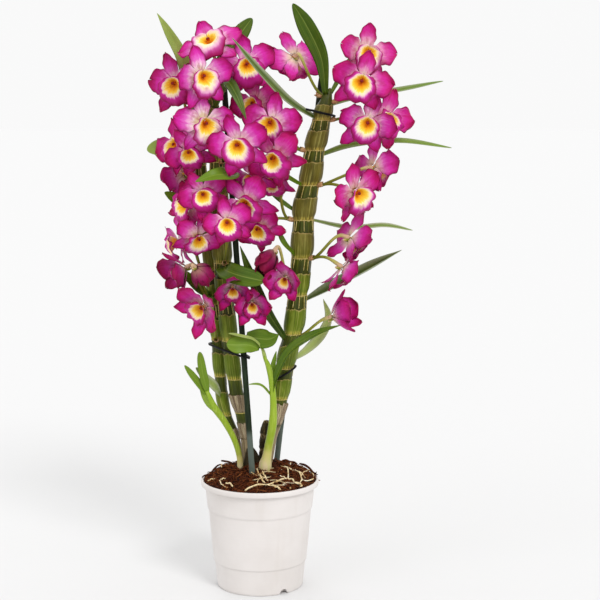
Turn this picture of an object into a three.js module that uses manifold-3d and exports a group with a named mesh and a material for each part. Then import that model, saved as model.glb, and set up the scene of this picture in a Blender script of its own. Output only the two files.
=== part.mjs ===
// A dendrobium orchid in its nursery pot. Three leafy canes stand tied to two stakes, with
// flowers in ones, twos and threes from the canes' joints, two young shoots at their foot,
// and pale roots over a mound of coir and bark.
// Millimetres, +Z up. The origin is the middle of the pot's flat base, and -Y is the front.

import * as THREE from 'three';
import { mergeVertices } from 'three/addons/utils/BufferGeometryUtils.js';
import Module from 'manifold-3d';

const wasm = await Module();
wasm.setup();

// ---------- driving dimensions ----------

const seat = 0.35; // clearance where one piece rests against another
const leafThickness = 0.9;
const petalThickness = 0.8;

const pot = {
  sides: 24,
  rimRadius: 60,
  height: 110.5,
  floor: 2,
  notches: { width: 11, topWidth: 8, height: 5.5, reach: 38, bearings: [34, 154, 274] },
};

// The inner wall, from the rim down to the floor, as radius and height.
const potInside = [[57.7, pot.height], [57.2, 109], [54, 103], [50.4, 79], [42.4, pot.floor]];

// `rings` are the radii of the mound's corners between its edge and its middle.
const mound = { edge: 109, top: 119, radius: 56.7, relief: 0.8, rings: [42, 22, 0] };
const caneSides = 7;

// A cane's thickness at a joint, at its fullest just above one, and at the tip, as shares of
// its diameter. `rise` is where the fullest point lies on the way to the next joint.
const swell = { joint: 0.88, full: 1.04, tip: 0.8, rise: 0.25 };

const stakeRadius = 2.8;
const tie = { radius: 0.9, slack: 0.8, turns: 12 };

// A flower stalk's radii at the cane, half way, below the ovary, at it and inside the flower.
const stalk = { start: 1.6, middle: 1.3, neck: 2, ovary: 3.8, heart: 2.7, foot: 2.4, bend: 14 };

// Each cane's centre line from the soil up, as rows of x, y, z and diameter, and the heights
// of the joints that ring it.
const canes = {
  right: {
    line: [
      [9, 22, 102, 8], [13, 22, 146, 12], [19, 22, 172, 14], [25, 22, 217, 18.5], [29, 21, 241, 20],
      [35, 20, 261, 20.5], [40, 20, 312, 21], [43, 20, 336, 23], [44, 19, 370, 22.5],
      [46, 18, 394, 24], [53, 18, 420, 22], [55, 17, 444, 22], [61, 16, 468, 21],
      [66, 15, 491, 17], [71, 15, 506, 11],
    ],
    joints: [189, 221, 257, 297, 335, 374, 409, 444, 474, 498],
  },
  front: {
    line: [
      [-14, 20, 102, 6], [-17, 20, 146, 7], [-20, 20, 167, 11], [-25, 20, 198, 15],
      [-30, 20, 240, 16], [-35, 20, 292, 18], [-38, 20, 333, 19.5], [-40, 20, 394, 20],
      [-42, 20, 434, 17], [-45, 20, 474, 14], [-48, 20, 504, 11], [-48.5, 20, 528, 8],
    ],
    joints: [175, 210, 250, 292, 330, 365, 399, 432, 464, 496, 520],
  },
  rear: {
    line: [
      [-19, 26, 102, 6], [-25, 28, 144, 7], [-33, 30, 162, 10], [-39, 31, 178, 12],
      [-42, 32, 218, 13], [-46, 34, 275, 13.5], [-50, 34, 322, 14], [-55, 34, 363, 13.5],
      [-58, 33, 403, 12], [-61, 32, 444, 11], [-63, 32, 484, 8],
    ],
    joints: [170, 211, 249, 286, 321, 357, 393, 428, 459],
  },
};

const stakes = {
  left: [[-6, -5, 96], [-35, 22, 509]],
  right: [[16, 45, 96], [63, 30, 518]],
};

// Flowers. `at` is the throat, `turn` the bearing that the flower looks to, from the front
// round towards +X, `rise` how far it looks up, `roll` how far it leans to its own right, `open`
// how far its petals have spread, 1 when left out, and `size` its share of full size. `side` is
// where the stalk leaves the cane.
const sprays = [
  { name: 'spray_right_1', cane: 'right', height: 498, side: [-1, 0.3], blooms: [
    { at: [36, 14, 536], turn: -160, rise: -20, roll: 15 },
  ] },
  { name: 'spray_right_2', cane: 'right', height: 492, blooms: [
    { at: [101, -30, 512], turn: -6, rise: -5, roll: 16 },
    { at: [107, 10, 539], turn: 13, rise: 9, roll: 10 },
  ] },
  { name: 'spray_right_3', cane: 'right', height: 474, blooms: [
    { at: [107, -19, 472], turn: -4, rise: -8, roll: 18 },
    { at: [126, 12, 475], turn: 25, rise: 0, roll: 18 },
  ] },
  { name: 'spray_right_4', cane: 'right', height: 409, blooms: [
    { at: [95, -22, 404], turn: 35, rise: -12, roll: -18 },
    { at: [114, 6, 427], turn: 130, rise: 0, roll: 10 },
  ] },
  { name: 'spray_right_5', cane: 'right', height: 335, blooms: [
    { at: [91, 0, 357], turn: 115, rise: -20 },
    { at: [84, -8, 328], turn: 88, rise: -35 },
  ] },
  { name: 'spray_right_6', cane: 'right', height: 444, blooms: [
    { at: [13, -18, 472], turn: -14, rise: -5, roll: 10 },
    { at: [17, -33, 439], turn: -25, rise: -15, roll: -38 },
    { at: [-2, 8, 490], turn: -40, rise: 0, roll: -15 },
  ] },
  { name: 'spray_right_7', cane: 'right', height: 374, blooms: [
    { at: [1, -5, 368], turn: -24, rise: -20, roll: -35 },
    { at: [15, 3, 415], turn: -35, rise: -25, size: 0.8, roll: -30 },
  ] },
  { name: 'spray_right_8', cane: 'right', height: 295, blooms: [
    { at: [14, -12, 343], turn: -30, rise: -50, open: 0.1 },
    { at: [27, -26, 319], turn: -20, rise: -35, open: 0.5 },
  ] },
  { name: 'spray_right_9', cane: 'right', height: 254, blooms: [
    { at: [75, 8, 277], turn: 75, rise: 18, open: 0.4 },
  ] },
  { name: 'spray_front_1', cane: 'front', height: 520, blooms: [
    { at: [-42, -12, 546], turn: -15, rise: 35, roll: -36 },
    { at: [-12, -5, 528], turn: 10, rise: 0, roll: -12 },
  ] },
  { name: 'spray_front_2', cane: 'front', height: 496, blooms: [
    { at: [-53, -41, 516], turn: 22, rise: 0, roll: -10 },
  ] },
  { name: 'spray_front_3', cane: 'front', height: 464, blooms: [
    { at: [-52, -35, 472], turn: 25, rise: -10, roll: -3 },
  ] },
  { name: 'spray_front_4', cane: 'front', height: 432, blooms: [
    { at: [-18, -48, 452], turn: -12, rise: -12, roll: -15 },
  ] },
  { name: 'spray_front_5', cane: 'front', height: 399, side: [0, -1], blooms: [
    { at: [-6, -6, 419], turn: -30, rise: -25, size: 0.8, roll: -20 },
  ] },
  { name: 'spray_front_6', cane: 'front', height: 365, side: [0, -1], blooms: [
    { at: [-11, -30, 395], turn: -22, rise: -15, roll: -38 },
  ] },
  { name: 'spray_front_7', cane: 'front', height: 330, blooms: [
    { at: [-29, -42, 374], turn: -5, rise: -12, roll: -15 },
  ] },
  { name: 'spray_front_8', cane: 'front', height: 292, side: [0, -1], blooms: [
    { at: [-26, -14, 309], turn: 20, rise: -45, open: 0.5 },
    { at: [-7, -12, 292], turn: -30, rise: -35, open: 0.5 },
  ] },
  { name: 'spray_rear_1', cane: 'rear', height: 459, blooms: [
    { at: [-82, 4, 510], turn: -18, rise: -6, roll: -10 },
  ] },
  { name: 'spray_rear_2', cane: 'rear', height: 428, blooms: [
    { at: [-67, -11, 444], turn: -12, rise: -18, roll: -30 },
    { at: [-80, 11, 449], turn: -46, rise: 2, roll: -27 },
  ] },
  { name: 'spray_rear_3', cane: 'rear', height: 393, blooms: [
    { at: [-76, 30, 419], turn: -140, rise: -7, roll: 19 },
  ] },
  { name: 'spray_rear_4', cane: 'rear', height: 357, blooms: [
    { at: [-53, -29, 403], turn: -3, rise: -9, roll: -29 },
    { at: [-68, 1, 391], turn: -48, rise: 5, roll: 31 },
  ] },
  { name: 'spray_rear_5', cane: 'rear', height: 321, blooms: [
    { at: [-61, -11, 359], turn: 22, rise: -27, roll: 25 },
    { at: [-82, 27, 351], turn: -75, rise: -10, roll: -2 },
  ] },
  { name: 'spray_rear_6', cane: 'rear', height: 286, blooms: [
    { at: [-77, -2, 330], turn: -61, rise: -21, roll: 12, open: 0.5 },
    { at: [-57, -20, 325], turn: 150, rise: -35, open: 0.3, size: 0.8 },
  ] },
  { name: 'spray_rear_7', cane: 'rear', height: 249, blooms: [
    { at: [-55, -16, 290], turn: -30, rise: -15, open: 0.7, roll: -20 },
  ] },
];

// Leaves. Each starts on its cane at `height`, and `path` runs on along the midrib to the tip.
// `widths` are full widths at even steps along it, `faces` is where the upper side looks, and
// `fold` how steeply the two halves rise from the midrib.
const leaves = [
  { name: 'leaf_right_top', cane: 'right', height: 499,
    path: [[62, 4, 535], [48, -6, 565], [34, -14, 587]],
    widths: [6, 12, 18, 18, 8], faces: [-0.4, -1, 0.1], fold: 0.25 },
  { name: 'leaf_right_back', cane: 'right', height: 500,
    path: [[91, 30, 532], [108, 42, 552]],
    widths: [4, 6, 7, 5, 2], faces: [-0.5, -1, 0.6], fold: 0.5 },
  { name: 'leaf_right_arching', cane: 'right', height: 475,
    path: [[31, -5, 492], [4, -28, 519], [-24, -46, 553]],
    widths: [5, 9, 10, 9, 6, 2], faces: [0.5, -1, 0.7], fold: 0.45 },
  { name: 'leaf_right_high', cane: 'right', height: 488,
    path: [[97, 34, 496], [143, 48, 504], [188, 58, 513]],
    widths: [4, 6, 6, 4, 1.6], faces: [0, -0.5, 1], fold: 0.4 },
  { name: 'leaf_right_upper', cane: 'right', height: 438,
    path: [[92, 34, 448], [143, 46, 452], [197, 52, 445]],
    widths: [4, 7, 7, 5, 1.6], faces: [0, -0.5, 1], fold: 0.4 },
  { name: 'leaf_right_middle', cane: 'right', height: 374,
    path: [[92, 37, 365], [128, 41, 369], [157, 42, 361]],
    widths: [4, 6, 6, 5, 1.6], faces: [0, -0.5, 1], fold: 0.4 },
  { name: 'leaf_right_folded', cane: 'right', height: 289,
    path: [[76, 30, 303], [113, 25, 323], [144, 12, 344]],
    widths: [5, 15, 20, 19, 12, 2], faces: [-0.3, -0.4, 1], fold: 0.7 },
  { name: 'leaf_right_pale', cane: 'right', height: 228,
    path: [[49, 34, 239], [63, 37, 254], [70, 38, 271], [65, 34, 291]],
    widths: [3, 7, 10, 10, 7, 2], faces: [0.2, -1, 0.2], fold: 0.3 },
  { name: 'leaf_right_short_1', cane: 'right', height: 381,
    path: [[21, 22, 393], [7, 24, 405]],
    widths: [3, 5, 5, 1.6], faces: [0.3, -1, 0.6], fold: 0.4 },
  { name: 'leaf_right_short_2', cane: 'right', height: 408,
    path: [[29, 0, 418], [18, -2, 429]],
    widths: [3, 5, 5, 1.6], faces: [0.3, -1, 0.6], fold: 0.4 },
  { name: 'leaf_right_short_3', cane: 'right', height: 336,
    path: [[25, 2, 352], [17, 0, 369]],
    widths: [3, 5, 6, 1.6], faces: [0.3, -1, 0.6], fold: 0.4 },
  { name: 'leaf_right_strap', cane: 'right', height: 250,
    path: [[9, 0, 282], [-6, -6, 316], [-19, -4, 350]],
    widths: [5, 9, 11, 11, 8, 2], faces: [-0.3, -1, 0], fold: 0.3 },
  { name: 'leaf_front_broad', cane: 'front', height: 326,
    path: [[-33, -5, 328], [-19, -23, 325], [6, -37, 321]],
    widths: [11, 18, 20, 16, 3], faces: [0, -1, 0.3], fold: 0.3 },
  { name: 'leaf_front_top', cane: 'front', height: 521,
    path: [[-23, 26, 553], [-7, 30, 575]],
    widths: [4, 12, 17, 17, 9], faces: [-0.2, -1, 0.2], fold: 0.3 },
  { name: 'leaf_front_hanging', cane: 'front', height: 486,
    path: [[-31, -14, 512], [-21, -26, 499], [-11, -30, 475]],
    widths: [4, 8, 12, 12, 8, 2], faces: [0.3, -1, 0.5], fold: 0.3 },
  { name: 'leaf_front_level', cane: 'front', height: 411,
    path: [[-31, -3, 415], [-27, -13, 424], [-42, -20, 424], [-60, -25, 418]],
    widths: [4, 10, 12, 9, 2], faces: [0, -1, 0.8], fold: 0.3 },
  { name: 'leaf_rear_top', cane: 'rear', height: 477,
    path: [[-76, 24, 532], [-90, 14, 561], [-100, 8, 579]],
    widths: [5, 10, 12, 11, 8, 2], faces: [0.3, -1, 0.3], fold: 0.4 },
  { name: 'leaf_rear_round', cane: 'rear', height: 444,
    path: [[-84, 40, 448], [-108, 42, 447]],
    widths: [5, 12, 15, 12, 4], faces: [0, -1, 0.6], fold: 0.25 },
  { name: 'leaf_rear_short', cane: 'rear', height: 386,
    path: [[-76, 36, 391], [-92, 38, 401]],
    widths: [4, 9, 9, 2], faces: [0.2, -1, 0.6], fold: 0.3 },
  { name: 'leaf_rear_folded', cane: 'rear', height: 294,
    path: [[-66, 24, 309], [-82, 24, 331]],
    widths: [5, 10, 11, 8, 2], faces: [0.5, -0.8, 0.8], fold: 0.7 },
  { name: 'leaf_rear_low', cane: 'rear', height: 190,
    path: [[-43, 8, 208], [-55, 0, 223]],
    widths: [3, 8, 9, 2], faces: [0.3, -1, 0.5], fold: 0.3 },
];

// Young shoots: a stem as rows of x, y, z and diameter, and its own leaves.
const shoots = [
  {
    name: 'shoot_left',
    stem: [
      [-16, 8, 102, 7], [-17, 8, 130, 6.5], [-23, 6, 148, 6], [-33, 3, 168, 6.5],
      [-46, -3, 187, 7], [-53, -8, 203, 4],
    ],
    leaves: [
      { path: [[-50, -6, 196], [-64, -10, 215], [-75, -12, 230]], widths: [3, 7, 6, 1.6],
        faces: [0.3, -1, 0.3], fold: 0.4 },
      { path: [[-52, -7, 199], [-57, -10, 223], [-60, -8, 243]], widths: [3, 7, 8, 1.6],
        faces: [0.2, -1, 0.1], fold: 0.4 },
      { path: [[-45, -4, 181], [-54, -7, 194], [-60, -8, 207]], widths: [3, 6, 5, 1.6],
        faces: [-0.3, -1, 0.3], fold: 0.4 },
    ],
  },
  {
    name: 'shoot_right',
    stem: [
      [5, 5, 102, 7], [5, 5, 121, 9], [6, 5, 130, 12.5], [8, 4.5, 138, 10], [10, 4, 146, 7.2],
      [13, 0, 166, 8.6], [14, -2, 187, 7], [12, -4, 214, 6], [9, -5, 230, 5], [3, -5, 244, 3.5],
    ],
    leaves: [
      { path: [[13, -3, 200], [18, -9, 219], [31, -14, 244], [56, -17, 262], [82, -19, 272]],
        widths: [5, 11, 13, 13, 9, 2], faces: [-0.4, -0.7, 1], fold: 0.5 },
      { path: [[5, -5, 240], [-5, -12, 253], [-18, -19, 252], [-32, -23, 245]],
        widths: [3, 13, 19, 19, 6], faces: [0, -1, 0.4], fold: 0.25 },
      { path: [[-8, 1, 247], [4, -3, 248], [24, -6, 254]], widths: [8, 19, 21, 14, 2],
        faces: [0, -1, 0.3], fold: 0.3 },
      { path: [[11, -4, 216], [14, 0, 229], [17, 2, 242]], widths: [3, 5, 1.6],
        faces: [0, -1, 0.3], fold: 0.4 },
      { path: [[13, -3, 196], [1, -7, 209], [-11, -9, 210]], widths: [3, 4, 4, 1.6],
        faces: [0, -0.5, 1], fold: 0.3 },
    ],
  },
];

const stump = [
  [2, 34, 102, 9], [3, 33, 124, 10], [4, 32, 138, 11], [5, 31, 154, 10.5], [6, 31, 164, 6],
];

// Roots over the mound, each a run of x and y. Each starts on the one before it or at a cane.
const roots = [
  { width: 2.6, run: [[14, 12], [20, 4], [28, -1], [38, -4], [45, -12], [46, -26]] },
  { width: 2.6, run: [[20, 4], [10, -6], [8, -22], [-2, -31], [-12, -42]] },
  { width: 2.2, run: [[8, -22], [19, -12], [28, -1], [33, 12], [28, 26], [30, 38]] },
  { width: 2.4, run: [[8, -22], [16, -34], [24, -45]] },
  { width: 2.4, run: [[33, 12], [41, 22], [48, 13], [49, 1], [38, -4]] },
  { width: 2.2, run: [[45, -12], [34, -21], [26, -31], [16, -34]] },
  { width: 2.2, run: [[-2, -31], [-16, -36], [-30, -37], [-37, -26]] },
];

// ---------- colours ----------

function finish(color, roughness) {
  return new THREE.MeshStandardMaterial({ color, roughness, metalness: 0 });
}

const finishes = {
  pot: finish('#ece8e4', 0.45),
  coir: finish('#5a2d14', 0.95),
  root: finish('#e1c896', 0.7),
  stake: finish('#2d3c32', 0.6),
  tie: finish('#181a18', 0.5),
  cane: finish('#6e6e30', 0.5),
  stump: finish('#3c3220', 0.8),
  leaf: finish('#4f7816', 0.4),
  shoot: finish('#8cb432', 0.4),
  bloom: finish('#cc2896', 0.5),
};

// ---------- solids and meshes ----------

function solidOf(geometry) {
  const bare = geometry.index ? geometry.clone() : mergeVertices(geometry.clone());
  bare.deleteAttribute('normal');
  bare.deleteAttribute('uv');
  const merged = mergeVertices(bare, 1e-3);
  const corner = merged.index.array;
  const triangles = [];
  for (let i = 0; i < corner.length; i += 3) {
    const [a, b, c] = corner.slice(i, i + 3);
    if (a !== b && b !== c && c !== a) triangles.push(a, b, c);
  }
  return new wasm.Manifold(new wasm.Mesh({
    numProp: 3,
    vertProperties: new Float32Array(merged.attributes.position.array),
    triVerts: new Uint32Array(triangles),
  }));
}

function geometryOf(solid) {
  const mesh = solid.getMesh();
  const geometry = new THREE.BufferGeometry();
  geometry.setAttribute('position', new THREE.BufferAttribute(mesh.vertProperties, 3));
  geometry.setIndex(new THREE.BufferAttribute(mesh.triVerts, 1));
  geometry.computeVertexNormals();
  return geometry;
}

function fused(geometries) {
  return geometries.map(solidOf).reduce((whole, next) => whole.add(next));
}

const vector = ([x, y, z]) => new THREE.Vector3(x, y, z);

// The sum of vectors, each with its own length along it.
function along(...steps) {
  const total = new THREE.Vector3();
  for (const [direction, length] of steps) total.addScaledVector(direction, length);
  return total;
}

// ---------- bars, loops and blades ----------

// A closed bar with `sides` sides through stations { at, radius }: flat ends, or none on a loop.
function bar(stations, sides, loop = false) {
  const count = stations.length;
  const position = [];
  const index = [];
  let across = new THREE.Vector3(0.3, 1, 0.2);
  stations.forEach(({ at, radius }, i) => {
    const before = stations[loop ? (i + count - 1) % count : Math.max(i - 1, 0)].at;
    const after = stations[loop ? (i + 1) % count : Math.min(i + 1, count - 1)].at;
    const forward = after.clone().sub(before).normalize();
    across = across.clone().projectOnPlane(forward).normalize();
    const up = forward.clone().cross(across);
    for (let s = 0; s < sides; s += 1) {
      const angle = (2 * Math.PI * (s + 0.5)) / sides;
      const spot = along([across, radius * Math.cos(angle)], [up, radius * Math.sin(angle)]).add(at);
      position.push(spot.x, spot.y, spot.z);
    }
  });
  const spans = loop ? count : count - 1;
  for (let i = 0; i < spans; i += 1) {
    for (let s = 0; s < sides; s += 1) {
      const a = i * sides + s;
      const b = i * sides + ((s + 1) % sides);
      const c = ((i + 1) % count) * sides + s;
      const d = ((i + 1) % count) * sides + ((s + 1) % sides);
      index.push(a, b, d, a, d, c);
    }
  }
  const end = (count - 1) * sides;
  for (let s = 1; !loop && s < sides - 1; s += 1) {
    index.push(0, s + 1, s, end, end + s, end + s + 1);
  }
  const geometry = new THREE.BufferGeometry();
  geometry.setAttribute('position', new THREE.Float32BufferAttribute(position, 3));
  geometry.setIndex(index);
  return geometry;
}

// Gives a sheet its thickness: both faces have the same triangles, and a wall joins their edges.
function thicken(sheet, thickness) {
  sheet.computeVertexNormals();
  const { position, normal } = sheet.attributes;
  const corner = sheet.index.array;
  const count = position.count;
  const points = [];
  for (const side of [0.5, -0.5]) {
    for (let i = 0; i < count; i += 1) {
      const spot = new THREE.Vector3().fromBufferAttribute(position, i);
      spot.addScaledVector(new THREE.Vector3().fromBufferAttribute(normal, i), side * thickness);
      points.push(spot.x, spot.y, spot.z);
    }
  }
  const edges = new Set();
  const index = [];
  for (let i = 0; i < corner.length; i += 3) {
    const [a, b, c] = corner.slice(i, i + 3);
    index.push(a, b, c, c + count, b + count, a + count);
    for (const [from, to] of [[a, b], [b, c], [c, a]]) edges.add(`${from} ${to}`);
  }
  for (const edge of edges) {
    const [from, to] = edge.split(' ').map(Number);
    if (edges.has(`${to} ${from}`)) continue;
    index.push(to, from, from + count, to, from + count, to + count);
  }
  const geometry = new THREE.BufferGeometry();
  geometry.setAttribute('position', new THREE.Float32BufferAttribute(points, 3));
  geometry.setIndex(index);
  return geometry;
}

// A leaf or petal: `widths` are full widths at even steps from root to tip, and
// `place(reach, sideways)` gives the point at that share of the length, so far off the midrib.
function blade({ widths, cells = 2, thickness, place }) {
  const steps = widths.length - 1;
  const sheet = new THREE.PlaneGeometry(1, 1, cells, steps);
  const point = sheet.attributes.position;
  for (let i = 0; i < point.count; i += 1) {
    const reach = point.getY(i) + 0.5;
    const spot = place(reach, point.getX(i) * widths[Math.round(reach * steps)]);
    point.setXYZ(i, spot.x, spot.y, spot.z);
  }
  return thicken(sheet, thickness);
}

// ---------- canes, stakes and ties ----------

function caneAt(cane, height) {
  const { line } = canes[cane];
  let i = 1;
  while (i < line.length - 1 && line[i][2] < height) i += 1;
  const [low, high] = [line[i - 1], line[i]];
  const share = (height - low[2]) / (high[2] - low[2]);
  const [x, y, , diameter] = low.map((value, k) => value + (high[k] - value) * share);
  return { at: new THREE.Vector3(x, y, height), radius: diameter / 2 };
}

// Above each joint a cane swells quickly, and then narrows slowly to the next.
function caneGeometry(cane, extra = 0) {
  const { line, joints } = canes[cane];
  const top = line.at(-1)[2];
  const heights = [[line[0][2], 1], [line[1][2], 1]];
  joints.forEach((joint, i) => {
    const gap = (joints[i + 1] ?? top) - joint;
    heights.push([joint, swell.joint], [joint + gap * swell.rise, swell.full]);
  });
  heights.push([top, swell.tip]);
  const stations = heights.map(([height, share]) => {
    const { at, radius } = caneAt(cane, height);
    return { at, radius: radius * share + extra };
  });
  return bar(stations, caneSides);
}

// What grows from a cane starts inside it, on the side that it grows to, and is then cut back
// to the cane's surface with the clearance that touching pieces keep.
const budDepth = 0.55; // share of the cane's radius
const caneRoom = Object.fromEntries(Object.keys(canes).map((cane) => (
  [cane, solidOf(caneGeometry(cane, seat * 1.1))]
)));

function budOf(cane, height, level) {
  const { at, radius } = caneAt(cane, height);
  return along([level, radius * budDepth]).add(at);
}

function stemGeometry(rows, sides, extra = 0) {
  const stations = rows.map(([x, y, z, width]) => (
    { at: new THREE.Vector3(x, y, z), radius: width / 2 + extra }
  ));
  return bar(stations, sides);
}

function stakeAt([low, high], height) {
  const share = (height - low[2]) / (high[2] - low[2]);
  return { at: vector(low).lerp(vector(high), share), radius: stakeRadius };
}

function stakeRows(stake) {
  return stake.map(([x, y, z]) => [x, y, z, 2 * stakeRadius]);
}

// A wire round the pieces that stand side by side at one height, rising to the right by `slope`.
function tieGeometry({ height, slope, round, from, tail }) {
  const girth = tie.radius + seat + tie.slack;
  const middle = round[0](height).at.x;
  const stations = [];
  for (let i = 0; i < tie.turns; i += 1) {
    const angle = (2 * Math.PI * i) / tie.turns;
    const outward = new THREE.Vector3(Math.cos(angle), Math.sin(angle), 0);
    const spots = round.map((piece) => {
      const { at, radius } = piece(height);
      const near = piece(height + slope * (at.x - middle));
      return along([outward, radius * swell.full + girth]).add(near.at);
    });
    spots.sort((one, two) => two.dot(outward) - one.dot(outward));
    spots[0].z = height + slope * (spots[0].x - middle);
    stations.push({ at: spots[0], radius: tie.radius });
  }
  const ends = tail.map((offset) => (
    { at: vector(offset).add(stations[from].at), radius: tie.radius * 1.05 }
  ));
  return geometryOf(fused([bar(stations, 4, true), bar(ends, 4)]));
}

// ---------- flowers ----------

// Right, up and forward for a flower that looks along `turn` and `rise`.
function flowerAxes({ turn, rise, roll = 0 }) {
  const [bearing, lift] = [turn, rise].map(THREE.MathUtils.degToRad);
  const forward = new THREE.Vector3(
    Math.sin(bearing) * Math.cos(lift),
    -Math.cos(bearing) * Math.cos(lift),
    Math.sin(lift),
  );
  const right = new THREE.Vector3(0, 0, 1).cross(forward).normalize();
  right.applyAxisAngle(forward, THREE.MathUtils.degToRad(-roll));
  return { right, up: forward.clone().cross(right), forward };
}

// The five tepals in turn round the flower, with full widths at mid length and at the tip.
// The sepals lie a layer behind the two broad petals.
const tepals = [
  { turn: 0, length: 28, widths: [14, 7], level: -1.2, lift: 5 },
  { turn: 78, length: 28, widths: [20, 14], level: 1, lift: 9, ribbed: true },
  { turn: 143, length: 29, widths: [13, 7], level: -1.2, lift: 3 },
  { turn: -143, length: 29, widths: [13, 7], level: -1.2, lift: 3 },
  { turn: -78, length: 28, widths: [20, 14], level: 1, lift: 9, ribbed: true },
];

// A bud's tepals rise at `lift` from its heart and bend in by `curl` to their tips, in degrees.
const closed = { lift: 30, curl: 100, width: 0.85 };

const heartRadius = 3.4;
const midribDepth = 1.5;
const lip = {
  throat: 2.2, radius: 17.5, closed: 0.25, base: 0.05, depth: 11, tilt: 12, wrap: 152, cells: 5,
};

// One tepal's points beyond the heart: left edge, midrib if it has one, and right edge. From the
// heart out, the tepal follows an arc that bends in by `curl`.
function tepalRows({ turn, length, widths, level, lift, ribbed }, open) {
  const angle = THREE.MathUtils.degToRad(turn);
  const raise = THREE.MathUtils.degToRad(lift + (1 - open) * closed.lift);
  const curl = THREE.MathUtils.degToRad(Math.max(1 - open, 0.01) * closed.curl);
  const outward = new THREE.Vector3(Math.sin(angle), Math.cos(angle), 0);
  const side = new THREE.Vector3(Math.cos(angle), -Math.sin(angle), 0);
  const forward = new THREE.Vector3(0, 0, 1);
  const spread = THREE.MathUtils.lerp(closed.width, 1, open);
  return widths.map((width, i) => {
    const reach = (i + 1) / widths.length;
    const heading = raise + curl * reach;
    const inward = along([outward, -Math.sin(heading)], [forward, Math.cos(heading)]);
    const spots = ribbed ? [-1, 0, 1] : [-1, 1];
    return spots.map((sideways) => along(
      [outward, heartRadius - 1 + (length * (Math.sin(heading) - Math.sin(raise))) / curl],
      [forward, (length * (Math.cos(raise) - Math.cos(heading))) / curl],
      [side, sideways * width * spread * 0.5],
      [inward, level - (sideways ? 0 : midribDepth)],
    ));
  });
}

// The tepals as one sheet of five arms round a small heart.
function tepalGeometry(open, thickness) {
  const points = [];
  const index = [];
  tepals.forEach(({ turn }, i) => {
    const gap = THREE.MathUtils.euclideanModulo(turn - tepals.at(i - 1).turn, 360);
    const angle = THREE.MathUtils.degToRad(turn - gap / 2);
    const [x, y] = [Math.sin(angle) * heartRadius, Math.cos(angle) * heartRadius];
    points.push(new THREE.Vector3(x, y, 0));
  });
  for (let i = 1; i < tepals.length - 1; i += 1) index.push(0, i + 1, i);
  tepals.forEach((tepal, i) => {
    let low = [i, (i + 1) % tepals.length];
    for (const spots of tepalRows(tepal, open)) {
      const high = spots.map((spot) => points.push(spot) - 1);
      const [left, right] = [low[0], low.at(-1)];
      if (high.length === 2) index.push(left, right, high[1], left, high[1], high[0]);
      if (high.length === 3) index.push(left, high[1], high[0], right, high[2], high[1]);
      if (high.length === 3 && low.length === 2) index.push(left, right, high[1]);
      if (low.length === 3) index.push(left, low[1], high[1], low[1], right, high[1]);
      low = high;
    }
  });
  const sheet = new THREE.BufferGeometry().setFromPoints(points).setIndex(index);
  return thicken(sheet, thickness);
}

// The lip: a funnel rolled round the column, open where its two edges meet above it.
function lipGeometry(open, thickness) {
  const tilt = THREE.MathUtils.degToRad(lip.tilt);
  const wrap = THREE.MathUtils.degToRad(lip.wrap);
  const spread = THREE.MathUtils.lerp(lip.closed, 1, open) * lip.radius - lip.throat;
  return blade({
    widths: [2, 2],
    cells: lip.cells,
    thickness,
    place: (reach, sideways) => {
      const angle = wrap * sideways;
      const radius = lip.throat + spread * reach;
      const spot = new THREE.Vector3(Math.sin(angle) * radius, -Math.cos(angle) * radius, 0);
      spot.z = lip.base + (lip.depth - lip.base) * reach;
      return spot.applyAxisAngle(new THREE.Vector3(1, 0, 0), tilt * reach);
    },
  });
}

function bloomGeometries(bloom) {
  const { open = 1, size = 1 } = bloom;
  const { right, up, forward } = flowerAxes(bloom);
  const frame = new THREE.Matrix4().makeBasis(right, up, forward).setPosition(vector(bloom.at));
  frame.scale(new THREE.Vector3().setScalar(size));
  const thickness = petalThickness / size;
  const pieces = [tepalGeometry(open, thickness)];
  if (open > 0.2) pieces.push(lipGeometry(open, thickness));
  return pieces.map((piece) => piece.applyMatrix4(frame));
}

// A flower's stalk runs from the cane, or from the short foot that it shares with others, and
// swells into the ovary behind the petals.
function stalkGeometry(bloom, start, outward) {
  const { forward } = flowerAxes(bloom);
  const heart = vector(bloom.at);
  const back = (distance) => along([forward, -distance]).add(heart);
  const leaving = along([outward, stalk.bend]).add(start);
  const curve = new THREE.CubicBezierCurve3(start, leaving, back(20), back(8));
  return bar([
    { at: start, radius: stalk.start },
    { at: curve.getPoint(0.45), radius: stalk.middle },
    { at: back(8), radius: stalk.neck },
    { at: back(2.5), radius: stalk.ovary },
    { at: heart, radius: stalk.heart },
  ], 3);
}

function sprayGeometry({ cane, height, side, blooms }) {
  const axis = caneAt(cane, height).at;
  const aim = new THREE.Vector3();
  for (const bloom of blooms) {
    const { forward } = flowerAxes(bloom);
    aim.add(vector(bloom.at)).sub(axis).addScaledVector(forward, -16);
  }
  const level = side ? new THREE.Vector3(...side, 0).normalize() : aim.setZ(0).normalize();
  const outward = level.clone().setZ(0.35).normalize();
  const bud = budOf(cane, height, level);
  const shared = blooms.length > 1;
  const foot = along([level, shared ? caneAt(cane, height).radius * 0.5 + 3 : 0]).add(bud);
  const pieces = shared ? [bar([bud, foot].map((at) => ({ at, radius: stalk.foot })), 4)] : [];
  for (const bloom of blooms) {
    const start = shared ? along([level, -1]).add(foot) : bud;
    pieces.push(stalkGeometry(bloom, start, outward), ...bloomGeometries(bloom));
  }
  return geometryOf(fused(pieces).subtract(caneRoom[cane]));
}

// ---------- leaves and shoots ----------

// A leaf's midrib follows `path`, given as points.
function bladeAlong({ path, widths, faces, fold }) {
  const curve = new THREE.CatmullRomCurve3(path);
  const upper = vector(faces);
  return blade({
    widths,
    thickness: leafThickness,
    place: (reach, sideways) => {
      const forward = curve.getTangentAt(reach);
      const face = upper.clone().projectOnPlane(forward).normalize();
      const side = forward.clone().cross(face);
      const rib = curve.getPointAt(reach);
      return along([side, sideways], [face, Math.abs(sideways) * fold]).add(rib);
    },
  });
}

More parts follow.
